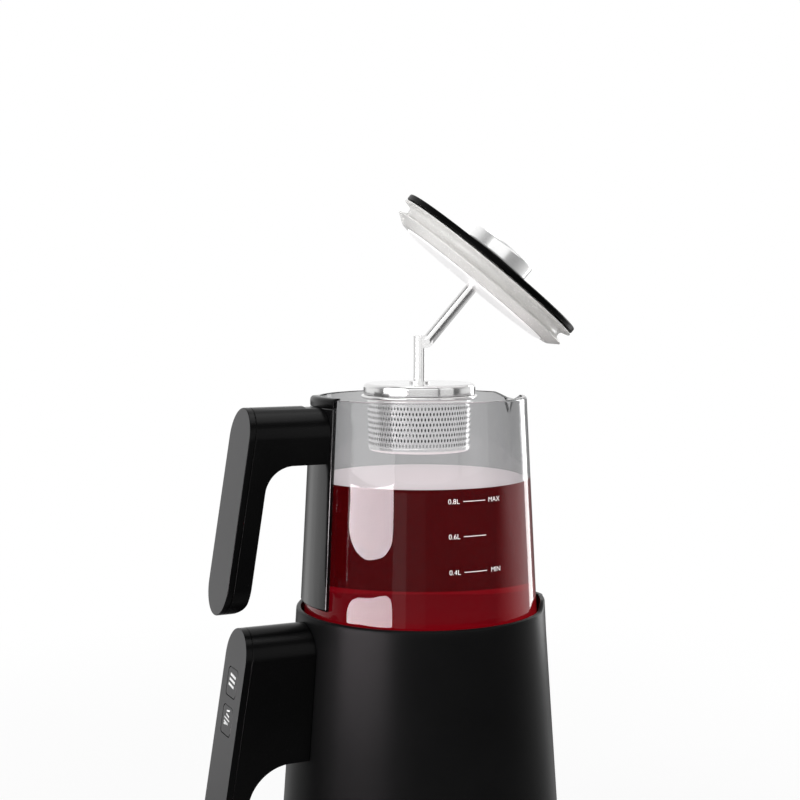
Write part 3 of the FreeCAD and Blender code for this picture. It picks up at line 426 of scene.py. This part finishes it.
CAD_FINISHES = {
    "base_housing": SATIN_BLACK, "base_underplate": DULL_BLACK, "base_feet": RUBBER_GREY,
    "base_connector": DULL_BLACK, "base_gland": DULL_BLACK, "kettle_coupler": DULL_BLACK,
    "kettle_shell": SATIN_BLACK, "kettle_collar": GLOSS_BLACK, "kettle_liner": BRUSHED,
    "kettle_bottom_cover": DULL_BLACK, "heater_plate": CAST, "thermostat": DULL_BLACK,
    "kettle_handle": HANDLE_BLACK, "kettle_handle_cover": COVER_GREY,
    "button_upper": COVER_GREY, "button_lower": COVER_GREY, "control_board": BOARD_GREEN,
    "pot_glass": GLASS, "pot_strap": GLOSS_BLACK, "pot_clip": HANDLE_BLACK,
    "pot_handle": HANDLE_BLACK, "pot_handle_cover": COVER_GREY,
    "infuser_rod": POLISHED, "knee_pin": POLISHED, "infuser_cap": POLISHED,
    "basket_rim": POLISHED, "basket_wall": DRAWN, "lid_rod": POLISHED,
    "lid_plate": LID_BLACK, "lid_boss": LID_BLACK, "lid_knob": KNOB,
    "lid_hub": DULL_BLACK, "lid_dish": DISH, "lid_seal": SILICONE,
}
for node_name, material in CAD_FINISHES.items():
    held = nodes[node_name].data.materials
    held.clear()
    held.append(material)


# Modelling

def nothing_selected():
    if bpy.context.mode != "OBJECT":
        bpy.ops.object.mode_set(mode="OBJECT")
    bpy.ops.object.select_all(action="DESELECT")


def only(piece):
    nothing_selected()
    piece.select_set(True)
    bpy.context.view_layer.objects.active = piece


def editing(piece, kind="VERT"):
    """Enter edit mode on a piece, with nothing of it selected."""
    only(piece)
    bpy.ops.object.mode_set(mode="EDIT")
    bpy.ops.mesh.select_mode(type=kind)
    bpy.ops.mesh.select_all(action="DESELECT")


def pick(piece, chosen, kind="VERT"):
    """Select the vertices, edges or faces of a piece for which a test holds."""
    editing(piece, kind)
    bpy.ops.object.mode_set(mode="OBJECT")
    parts = {"VERT": piece.data.vertices, "EDGE": piece.data.edges, "FACE": piece.data.polygons}
    for part in parts[kind]:
        part.select = chosen(part)
    bpy.ops.object.mode_set(mode="EDIT")


def finished(piece, name, body, material, smooth=35):
    """Name a piece, fix its place in its mesh, and give it its finish and its body."""
    only(piece)
    bpy.ops.object.transform_apply(location=True, rotation=True, scale=True)
    bpy.ops.object.shade_smooth_by_angle(angle=math.radians(smooth))
    piece.name = name
    piece.data.name = name
    piece.data.materials.clear()
    piece.data.materials.append(material)
    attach(piece, body)
    nothing_selected()
    return piece


def applied(piece, kind, **settings):
    """Add a modifier with its settings and apply it."""
    only(piece)
    modifier = piece.modifiers.new(kind.lower(), kind)
    for setting, choice in settings.items():
        setattr(modifier, setting, choice)
    bpy.ops.object.modifier_apply(modifier=modifier.name)


def second_finish(piece, material, chosen):
    """Give the faces for which a test holds another material."""
    piece.data.materials.append(material)
    pick(piece, chosen, "FACE")
    piece.active_material_index = len(piece.data.materials) - 1
    bpy.ops.object.material_slot_assign()
    bpy.ops.object.mode_set(mode="OBJECT")


def closed(piece, gap=0.002 * MM):
    """Merge a mesh's doubles and turn its faces outwards."""
    editing(piece)
    bpy.ops.mesh.select_all(action="SELECT")
    bpy.ops.mesh.remove_doubles(threshold=gap)
    bpy.ops.mesh.normals_make_consistent(inside=False)
    bpy.ops.object.mode_set(mode="OBJECT")


def lathed(corners, steps=128, loop=False, turn=2 * math.pi):
    """Turn a profile of (radius, height, rounding) corners about Z, extruding it first."""
    nothing_selected()
    first = Vector((corners[0][0], 0, corners[0][1]))
    bpy.ops.mesh.primitive_plane_add(size=MM, location=first)
    piece = bpy.context.object
    bpy.ops.object.transform_apply(location=True)
    editing(piece)
    bpy.ops.mesh.select_all(action="SELECT")
    bpy.ops.mesh.merge(type="CENTER")
    path = list(corners[1:]) + ([corners[0]] if loop else [])
    before = first
    for corner in path:
        after = Vector((corner[0], 0, corner[1]))
        bpy.ops.mesh.extrude_region_move(TRANSFORM_OT_translate={"value": after - before})
        before = after
    bpy.ops.mesh.select_all(action="SELECT")
    bpy.ops.mesh.remove_doubles(threshold=0.0005 * MM)
    for radius, height, rounding in corners:
        if rounding:
            place = Vector((radius, 0, height))
            pick(piece, lambda vertex: (vertex.co - place).length < 0.01 * MM)
            bpy.ops.mesh.bevel(affect="VERTICES", offset=rounding, segments=4)
    bpy.ops.mesh.select_all(action="SELECT")
    bpy.ops.mesh.spin(steps=steps, angle=turn, center=(0, 0, 0), axis=(0, 0, 1))
    if turn < 2 * math.pi:
        bpy.ops.mesh.select_all(action="SELECT")
        bpy.ops.mesh.region_to_loop()
        bpy.ops.mesh.edge_face_add()
    closed(piece)
    return piece


def in_millimetres(corners, along):
    """Corners written in millimetres, raised along the axis by metres."""
    return [(radius * MM, height * MM + along, rounding * MM)
            for radius, height, rounding in corners]


def on_the_lid(piece):
    """Place a piece, drawn upright with the knee at its origin, on the tilted lid."""
    turn = Euler((0, 0, VIEW_TURN)).to_matrix() @ Euler((0, LID_TILT, 0)).to_matrix()
    piece.location = KNEE
    piece.rotation_euler = turn.to_euler()


def softened(node_name, width, body, material):
    """A copy of a CAD piece with its corners rounded as a mould leaves them."""
    original = nodes[node_name]
    piece = original.copy()
    piece.data = original.data.copy()
    piece.parent = None
    bpy.context.collection.objects.link(piece)
    closed(piece, 0.004 * MM)
    editing(piece, "FACE")
    bpy.ops.mesh.select_all(action="SELECT")
    bpy.ops.mesh.dissolve_limited(angle_limit=math.radians(0.5))
    bpy.ops.object.mode_set(mode="OBJECT")
    applied(piece, "BEVEL", width=width, segments=3, limit_method="ANGLE",
            angle_limit=math.radians(40), use_clamp_overlap=True)
    finished(piece, f"{node_name}_soft", body, material)
    applied(piece, "WEIGHTED_NORMAL", keep_sharp=True, weight=100)
    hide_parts(node_name)
    return piece


# Handles, strap and buttons

softened("kettle_handle", 1.0 * MM, "kettle", HANDLE_BLACK)
softened("pot_handle", 1.0 * MM, "teapot", HANDLE_BLACK)
for node_name, body in (("kettle_handle_cover", "kettle"), ("pot_handle_cover", "teapot")):
    cover = softened(node_name, 0.5 * MM, body, COVER_GREY)
    second_finish(cover, HANDLE_BLACK, lambda face: face.normal.x > -0.8)
softened("pot_strap", 0.6 * MM, "teapot", GLOSS_BLACK)
softened("button_upper", 0.35 * MM, "button_upper", COVER_GREY)
softened("button_lower", 0.35 * MM, "button_lower", COVER_GREY)


def pot_clip():
    """The hook that turns the strap over the rim, flush with the strap outside."""
    half = math.asin(CLIP_HALF / POT_RIM_RADIUS)
    piece = lathed([
        (CLIP_OUTER, CLIP_UNDER, 0), (CLIP_OUTER - 0.1 * MM, CLIP_TOP, 2.0 * MM),
        (CLIP_INNER, CLIP_TOP, 0.5 * MM), (CLIP_INNER, CLIP_STEP, 0),
        (POT_RIM_RADIUS + 0.15 * MM, CLIP_STEP, 0), (POT_RIM_RADIUS + 0.35 * MM, CLIP_UNDER, 0),
    ], 24, loop=True, turn=2 * half)
    piece.rotation_euler = (0, 0, math.pi + half)
    applied(piece, "BEVEL", width=0.35 * MM, segments=2, limit_method="ANGLE",
            angle_limit=math.radians(50))
    finished(piece, "pot_clip_hook", "teapot", HANDLE_BLACK)
    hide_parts("pot_clip")


pot_clip()


def wall_radius(height):
    """The teapot's outer radius at a height."""
    return POT_RIM_RADIUS + (POT_RIM - height) * POT_SLOPE


def tea():
    """The tea, which fills the glass with no gap at its wall and floor."""
    inner = GLASS_WALL - TEA_OVERLAP
    low = POT_FLOOR - TEA_OVERLAP
    piece = lathed([
        (0, low, 0),
        (wall_radius(low) - inner, low, TEA_ROUNDING),
        (wall_radius(TEA_LEVEL) - inner, TEA_LEVEL, 0),
        (0, TEA_LEVEL, 0),
    ])
    finished(piece, "tea", "teapot", TEA)
    # The level top gets the painted reflection
    second_finish(piece, TEA_TOP_PAINTED_REFLECTION, lambda face: face.normal.z > 0.9)


tea()


def scale_text(words, angle, height, name):
    """Printed letters lying on the teapot's wall, centred on an angle and a height."""
    nothing_selected()
    bpy.ops.object.text_add()
    letters = bpy.context.object
    letters.data.body = words
    letters.data.size = SCALE_LETTER
    letters.data.align_x = "CENTER"
    letters.data.align_y = "CENTER"
    letters.data.extrude = INK / 2
    letters.data.offset = SCALE_THINNING
    bpy.ops.object.convert(target="MESH")
    letters = bpy.context.object
    reach = wall_radius(height) + INK / 2
    letters.location = (reach * math.cos(angle), reach * math.sin(angle), height)
    letters.rotation_euler = (math.radians(90), 0, angle + math.radians(90))
    finished(letters, name, "teapot", SCALE_INK)


def scale_stroke(height, name):
    """A printed stroke that follows the wall between two angles."""
    start, end = SCALE_LINE
    nothing_selected()
    bpy.ops.mesh.primitive_plane_add(size=1, location=(wall_radius(height), 0, height))
    piece = bpy.context.object
    piece.rotation_euler = (math.radians(90), 0, 0)
    piece.scale = (INK * 2, STROKE_WIDTH, 1)
    bpy.ops.object.transform_apply(location=True, rotation=True, scale=True)
    piece.rotation_euler = (0, 0, start)
    bpy.ops.object.transform_apply(rotation=True)
    editing(piece)
    bpy.ops.mesh.select_all(action="SELECT")
    bpy.ops.mesh.spin(steps=12, angle=start - end, center=(0, 0, 0), axis=(0, 0, 1))
    closed(piece)
    finished(piece, name, "teapot", SCALE_INK)


for number, (height, amount, word) in enumerate(SCALE):
    height *= MM
    start, end = SCALE_LINE
    reach = wall_radius(height)
    scale_stroke(height, f"scale_line_{number}")
    scale_text(amount, start - AMOUNT_GAP / reach, height, f"scale_amount_{number}")
    if word:
        scale_text(word, end + WORD_GAP / reach, height, f"scale_word_{number}")


# Kettle shell

def smooth_share(share):
    """A share from 0 to 1 that starts and ends gently."""
    share = min(1.0, max(0.0, share))
    return share * share * (3 - 2 * share)


def hood_share(turn):
    """How far the rim bulges into a pouring lip, by the angle from +X."""
    share = min(1.0, abs(turn) / HOOD_LIP)
    return math.cos(share * math.pi / 2) ** 2


def shoulder_share(turn):
    """How far the rim is raised: two shoulders beside the lip, which dips between them."""
    turn = abs(turn)
    outer = smooth_share((HOOD_END - turn) / (HOOD_END - HOOD_SHOULDER))
    inner = smooth_share(turn / HOOD_LIP)
    return outer * (0.15 + 0.85 * inner)


def kettle_shell():
    """The tapered wall of the kettle, with its rim drawn out into a hooded lip."""
    low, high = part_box("kettle_shell")[0][2], KETTLE_RIM
    slope = SHELL_FLARE / (high - low)
    rings = [low] + [high - drop * MM for drop in SHELL_RINGS]
    outer = [(SHELL_RADIUS + (high - ring) * slope, ring, 0) for ring in rings]
    inner = [(radius - SHELL_WALL, ring, 0) for radius, ring, _ in reversed(outer)]
    rim = [(SHELL_RADIUS, high, 1.2 * MM), (SHELL_RADIUS - SHELL_WALL, high, 1.0 * MM)]
    piece = lathed(outer + rim + inner, 240, loop=True)
    for vertex in piece.data.vertices:
        turn = math.atan2(vertex.co.y, vertex.co.x)
        height = smooth_share((vertex.co.z - (high - HOOD_DEPTH)) / HOOD_DEPTH)
        reach = HOOD_REACH * height * hood_share(turn)
        vertex.co.x += reach * math.cos(turn)
        vertex.co.y += reach * math.sin(turn)
        near_rim = smooth_share((vertex.co.z - (high - HOOD_RIM_DEPTH)) / HOOD_RIM_DEPTH)
        vertex.co.z += HOOD_RISE * near_rim * shoulder_share(turn)
    finished(piece, "kettle_shell_hooded", "kettle", SATIN_BLACK, 40)
    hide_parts("kettle_shell")


kettle_shell()


# Seal and basket

def seal():
    """The silicone ring under the lid, with two lips that point outwards."""
    piece = lathed(in_millimetres(SEAL, LID_ARM), 160, loop=True)
    on_the_lid(piece)
    finished(piece, "lid_seal_lips", "lid", SILICONE, 50)
    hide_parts("lid_seal")


seal()


def perforated_wall():
    """Rows of oval holes: one cell is cut, spun round, then copied upwards with a half step."""
    cell = 2 * math.pi * BASKET_RADIUS / HOLE_COUNT
    low = BASKET_LOW + PLAIN_FOOT
    middle = low + ROW_PITCH / 2
    nothing_selected()
    bpy.ops.mesh.primitive_circle_add(vertices=8, radius=0.5, location=(BASKET_RADIUS, 0, middle))
    piece = bpy.context.object
    piece.rotation_euler = (0, math.radians(90), 0)
    piece.scale = (HOLE_TALL, HOLE_WIDE, 1)
    bpy.ops.object.transform_apply(location=True, rotation=True, scale=True)
    editing(piece, "EDGE")
    bpy.ops.mesh.select_all(action="SELECT")
    bpy.ops.mesh.extrude_edges_move()
    grow = math.sqrt(2)
    centre = (BASKET_RADIUS, 0, middle)
    size = (1, cell * grow / HOLE_WIDE, ROW_PITCH * grow / HOLE_TALL)
    bpy.ops.transform.resize(value=size, center_override=centre)
    cuts = (((0, 1, 0), (0, cell / 2, 0)), ((0, -1, 0), (0, -cell / 2, 0)),
            ((0, 0, 1), (0, 0, middle + ROW_PITCH / 2)), ((0, 0, -1), (0, 0, low)))
    for normal, place in cuts:
        bpy.ops.mesh.select_all(action="SELECT")
        bpy.ops.mesh.bisect(plane_co=place, plane_no=normal, clear_outer=True)
    bpy.ops.mesh.select_all(action="SELECT")
    bpy.ops.mesh.spin(steps=HOLE_COUNT, dupli=True, angle=2 * math.pi,
                      center=(0, 0, 0), axis=(0, 0, 1))
    bpy.ops.mesh.select_all(action="SELECT")
    bpy.ops.mesh.remove_doubles(threshold=MERGE)
    for row in range(1, HOLE_ROWS):
        bpy.ops.mesh.duplicate_move(TRANSFORM_OT_translate={"value": (0, 0, ROW_PITCH)})
        bpy.ops.transform.rotate(value=math.pi / HOLE_COUNT, orient_axis="Z",
                                 center_override=(0, 0, 0))
    bpy.ops.mesh.select_all(action="SELECT")
    bpy.ops.mesh.remove_doubles(threshold=MERGE)
    bpy.ops.mesh.normals_make_consistent(inside=False)
    bpy.ops.object.mode_set(mode="OBJECT")
    return piece


def basket():
    """The infuser's cup: its perforated wall, a plain band above and a stepped foot below."""
    piece = perforated_wall()
    applied(piece, "SOLIDIFY", thickness=BASKET_SHEET, offset=-1, use_even_offset=True)
    inner = BASKET_RADIUS - BASKET_SHEET
    top = BASKET_LOW + PLAIN_FOOT + HOLE_ROWS * ROW_PITCH
    band = lathed([
        (inner, top, 0), (BASKET_RADIUS, top, 0),
        (BASKET_RADIUS, BASKET_HIGH, 0), (inner, BASKET_HIGH, 0),
    ], HOLE_COUNT * 2, loop=True)
    low = BASKET_LOW
    cup_top = low + PLAIN_FOOT
    cup = lathed([
        (0, low, 0), (BASKET_RADIUS + FOOT_STEP, low, 1.6 * MM),
        (BASKET_RADIUS + FOOT_STEP, cup_top - FOOT_STEP, 0.1 * MM), (BASKET_RADIUS, cup_top, 0),
        (inner, cup_top, 0), (inner - 0.3 * MM, low + BASKET_SHEET * 2, 0),
        (0, low + BASKET_SHEET * 2, 0),
    ], HOLE_COUNT * 2)
    only(piece)
    band.select_set(True)
    cup.select_set(True)
    bpy.ops.object.join()
    centre = (Vector(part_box("basket_wall")[0]) + Vector(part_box("basket_wall")[1])) / 2
    taper(piece, BASKET_HIGH - BASKET_LOW)
    piece.location = (centre.x, centre.y, 0)
    piece.rotation_euler = (0, 0, VIEW_TURN)
    finished(piece, "basket_perforated", "basket", DRAWN, 30)
    second_finish(piece, SHADED, lambda face: in_shade(face, centre))
    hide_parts("basket_wall")


def in_shade(face, centre):
    """True of the basket's inner faces and of the sides of its holes."""
    outwards = Vector((face.center.x - centre.x, face.center.y - centre.y, 0)).normalized()
    return face.normal.dot(outwards) < 0.3 and face.center.z > BASKET_LOW + 1.5 * MM


def taper(piece, height):
    """Narrow the basket towards its foot, a ring of vertices at a time."""
    rings = sorted({round(vertex.co.z, 7) for vertex in piece.data.vertices})
    for ring in rings:
        share = BASKET_TAPER * (BASKET_LOW + height - ring) / height / BASKET_RADIUS
        for vertex in piece.data.vertices:
            if abs(vertex.co.z - ring) < 1e-7:
                vertex.co.x *= 1 - share
                vertex.co.y *= 1 - share


basket()


# Button symbols: three slanted bars above, and a rule between two pairs of marks below

def symbol_bar(name, body, across, height, size, rise):
    """A raised bar on a button's leaning face, with one end higher by a rise."""
    nothing_selected()
    bpy.ops.mesh.primitive_plane_add(size=1)
    piece = bpy.context.object
    piece.scale = (*size, 1)
    bpy.ops.object.transform_apply(scale=True)
    pick(piece, lambda vertex: vertex.co.x > 0)
    bpy.ops.transform.translate(value=(0, rise, 0))
    bpy.ops.mesh.select_all(action="SELECT")
    bpy.ops.mesh.extrude_region_move(TRANSFORM_OT_translate={"value": (0, 0, ICON)})
    closed(piece)
    piece.rotation_euler = (math.radians(90), 0, math.radians(-90))
    bpy.ops.object.transform_apply(rotation=True)
    piece.rotation_euler = (0, LEAN, 0)
    piece.location = (button_face(height), -across, height)
    finished(piece, name, body, WHITE_INK)


def button_face(height):
    """The x of the leaning cover's face at a height."""
    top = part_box("kettle_handle_cover")[1][2]
    return COVER_FACE - (top - height) * math.tan(LEAN)


for number in range(3):
    step = number - 1
    symbol_bar(f"symbol_bar_{number}", "button_upper", step * BAR_SHIFT,
               UPPER_SYMBOL + step * BAR_PITCH, BAR, -SLANT)
symbol_bar("symbol_rule", "button_lower", 0.0, LOWER_SYMBOL, RULE, -SLANT)
for number, row in enumerate(MARK_HEIGHTS):
    above = row > 0
    symbol_bar(f"symbol_mark_{number}", "button_lower", BAR_SHIFT if above else -BAR_SHIFT,
               LOWER_SYMBOL + row, (MARK_SHORT if above else MARK_LONG, MARK_TALL),
               SLANT if number % 2 else -SLANT)


# Floor, light and camera

# What gloss sees in front, what clear glass shows of the backdrop, and the light of the room;
# then the cards' colour, lean and distance, and the heights of the upright ones
FRONT_ROOM = 0.05
GLASS_VIEW = 0.66
ROOM_LIGHT = 0.55
SKY_TILT = 0.12
FLOOR_RADIUS = 6
CARD_TINT = (1.0, 0.90, 0.94)
CARD_LEAN = math.radians(1.5)
STAND_OFF = 0.9
ALOFT = (0.250, 1.0)
LOW_STREAK = (0.03, 0.24)


def backdrop(finish, direction):
    """1 behind the object and almost nothing in front.

    It goes by a direction, or by a place on the floor in metres from the object's axis.
    """
    facing = finish.dot(direction, (*VIEW_FORWARD[:2], SKY_TILT))
    return finish.ramp(facing, -0.5, 0.75, FRONT_ROOM, 1.0)


def rays(finish):
    """Three numbers by the kind of ray.

    1 from the camera or through glass, how bright such a ray finds the backdrop, and 1 off gloss.
    """
    seen = finish.light_path("Is Camera Ray")
    plain = finish.larger(seen, finish.light_path("Is Transmission Ray"))
    level = plain * (GLASS_VIEW + (1 - GLASS_VIEW) * seen)
    return plain, level, finish.light_path("Is Glossy Ray")


def floor():
    """A pale disc that keeps the shadow near the object and turns to white away from it."""
    finish = Finish("pale_floor")
    speck = finish.noise(6, 2)
    finish.shade(
        Base_Color=finish.mix(speck, (0.86, 0.86, 0.86), (0.90, 0.90, 0.90)),
        Roughness=0.7,
    )
    place = finish.place()
    away = finish.node("ShaderNodeVectorMath", {"operation": "LENGTH"}, {0: place}, 1)
    fade = finish.ramp(away, 0.15, 0.9, 0.80, 1.0)
    plain, level, mirrored = rays(finish)
    glow = level + (1 - plain) * backdrop(finish, place) * dark_behind(finish, place, away)
    white = finish.node("ShaderNodeEmission", {}, {0: (1, 1, 1), 1: glow})
    matt = Wire(finish, finish.tree.nodes["Principled BSDF"].outputs[0])
    share = finish.larger(plain, mirrored) * fade
    finish.surface(finish.node("ShaderNodeMixShader", {}, {0: share, 1: matt, 2: white}))
    nothing_selected()
    bpy.ops.mesh.primitive_circle_add(vertices=96, radius=FLOOR_RADIUS, fill_type="NGON")
    disc = bpy.context.object
    disc.name = "floor"
    disc.data.materials.append(finish.holder)


def dark_behind(finish, place, away):
    """Less light straight behind the object, which draws a dark line round steel and glass."""
    return finish.ramp(finish.dot(place, VIEW_FORWARD) / away, 0.72, 0.93, 1.0, 0.15)


def softbox(name, place, aim, wide, tall, power):
    """A rectangular lamp at a place, turned to a point."""
    nothing_selected()
    bpy.ops.object.light_add(type="AREA", location=place)
    lamp = bpy.context.object
    lamp.name = name
    lamp.data.shape = "RECTANGLE"
    lamp.data.size = wide
    lamp.data.size_y = tall
    lamp.data.energy = power
    direction = Vector(aim) - Vector(place)
    lamp.rotation_euler = direction.to_track_quat("-Z", "Y").to_euler()


def card(name, bearings, heights, strength, colour=(1, 1, 1), corners=(), lean=0.0):
    """A glowing card that shows only in gloss, between two bearings and two heights.

    A rounded corner is given by -1 or 1 for its side, -1 or 1 for its end, and the share of
    the card that it takes.
    """
    finish = Finish(name)
    glow = finish.node("ShaderNodeEmission", {}, {0: colour, 1: strength})
    finish.surface(glow)
    half_turn = math.radians(bearings[1] - bearings[0]) / 2
    wide = 2 * STAND_OFF * math.tan(half_turn)
    tall = heights[1] - heights[0]
    place = beside((bearings[0] + bearings[1]) / 2, STAND_OFF, (heights[0] + heights[1]) / 2)
    nothing_selected()
    bpy.ops.mesh.primitive_plane_add(size=1)
    piece = bpy.context.object
    for side, end, share in corners:
        corner = Vector((side / 2, end / 2, 0))
        pick(piece, lambda vertex: (vertex.co - corner).length < MM)
        bpy.ops.mesh.bevel(affect="VERTICES", offset=share, segments=10)
        bpy.ops.object.mode_set(mode="OBJECT")
    piece.scale = (wide, tall, 1)
    bpy.ops.object.transform_apply(scale=True)
    piece.rotation_euler = (0, 0, lean)
    bpy.ops.object.transform_apply(rotation=True)
    piece.name = name
    piece.data.materials.append(finish.holder)
    facing = math.atan2(place[1], place[0]) + math.radians(90)
    piece.rotation_euler = (math.radians(90), 0, facing)
    piece.location = place
    for kind in ("camera", "diffuse", "transmission", "volume_scatter", "shadow"):
        setattr(piece, f"visible_{kind}", False)


def world():
    """White behind the object, and a dim room in front, as on a studio table."""
    holder = bpy.data.worlds.new("studio")
    bpy.context.scene.world = holder
    finish = Finish("studio", holder)
    plain, level, mirrored = rays(finish)
    direction = finish.node("ShaderNodeTexCoord", output="Generated")
    unseen = mirrored * backdrop(finish, direction) + (1 - mirrored) * ROOM_LIGHT
    background = finish.tree.nodes["Background"]
    finish.plug(background.inputs["Color"], (1, 1, 1))
    finish.plug(background.inputs["Strength"], level + (1 - plain) * unseen)


def camera():
    lens = bpy.data.cameras.new("camera")
    lens.lens = CAMERA_LENS
    lens.sensor_width = 36
    eye = bpy.data.objects.new("camera", lens)
    eye.location = CAMERA_PLACE
    eye.rotation_euler = CAMERA_TURN
    bpy.context.scene.collection.objects.link(eye)
    bpy.context.scene.camera = eye


def beside(bearing, distance, height):
    """A place at a bearing from the line of sight (left is negative), seen from the axis."""
    angle = VIEW_TURN + math.radians(bearing - 90)
    return (distance * math.cos(angle), distance * math.sin(angle), height)


floor()
world()
camera()
softbox("left_softbox", beside(-52, 0.9, 0.60), (0, 0, 0.60), 0.86, 0.72, 5)
softbox("right_strip", beside(138, 0.9, 0.40), (0, 0, 0.40), 0.20, 0.8, 1.8)
softbox("top_light", (0.0, -0.1, 1.3), (0, 0, 0.2), 0.8, 0.8, 4)
card("tea_card", (-76, -27), (0.157, 0.236), 30, CARD_TINT,
     ((-1, -1, 0.5), (1, -1, 0.25)), CARD_LEAN)
card("foot_card", (-74, -27), (0.048, 0.116), 26, CARD_TINT,
     ((-1, 1, 0.45), (1, 1, 0.3)), CARD_LEAN)
card("front_card", (-25, 37), ALOFT, 1.2)
card("right_card", (41, 72), ALOFT, 1.2)
card("near_streak", (-27, -14), LOW_STREAK, 0.75)
card("middle_streak", (-14, 4), LOW_STREAK, 0.2)

bpy.context.scene.view_settings.view_transform = "Standard"
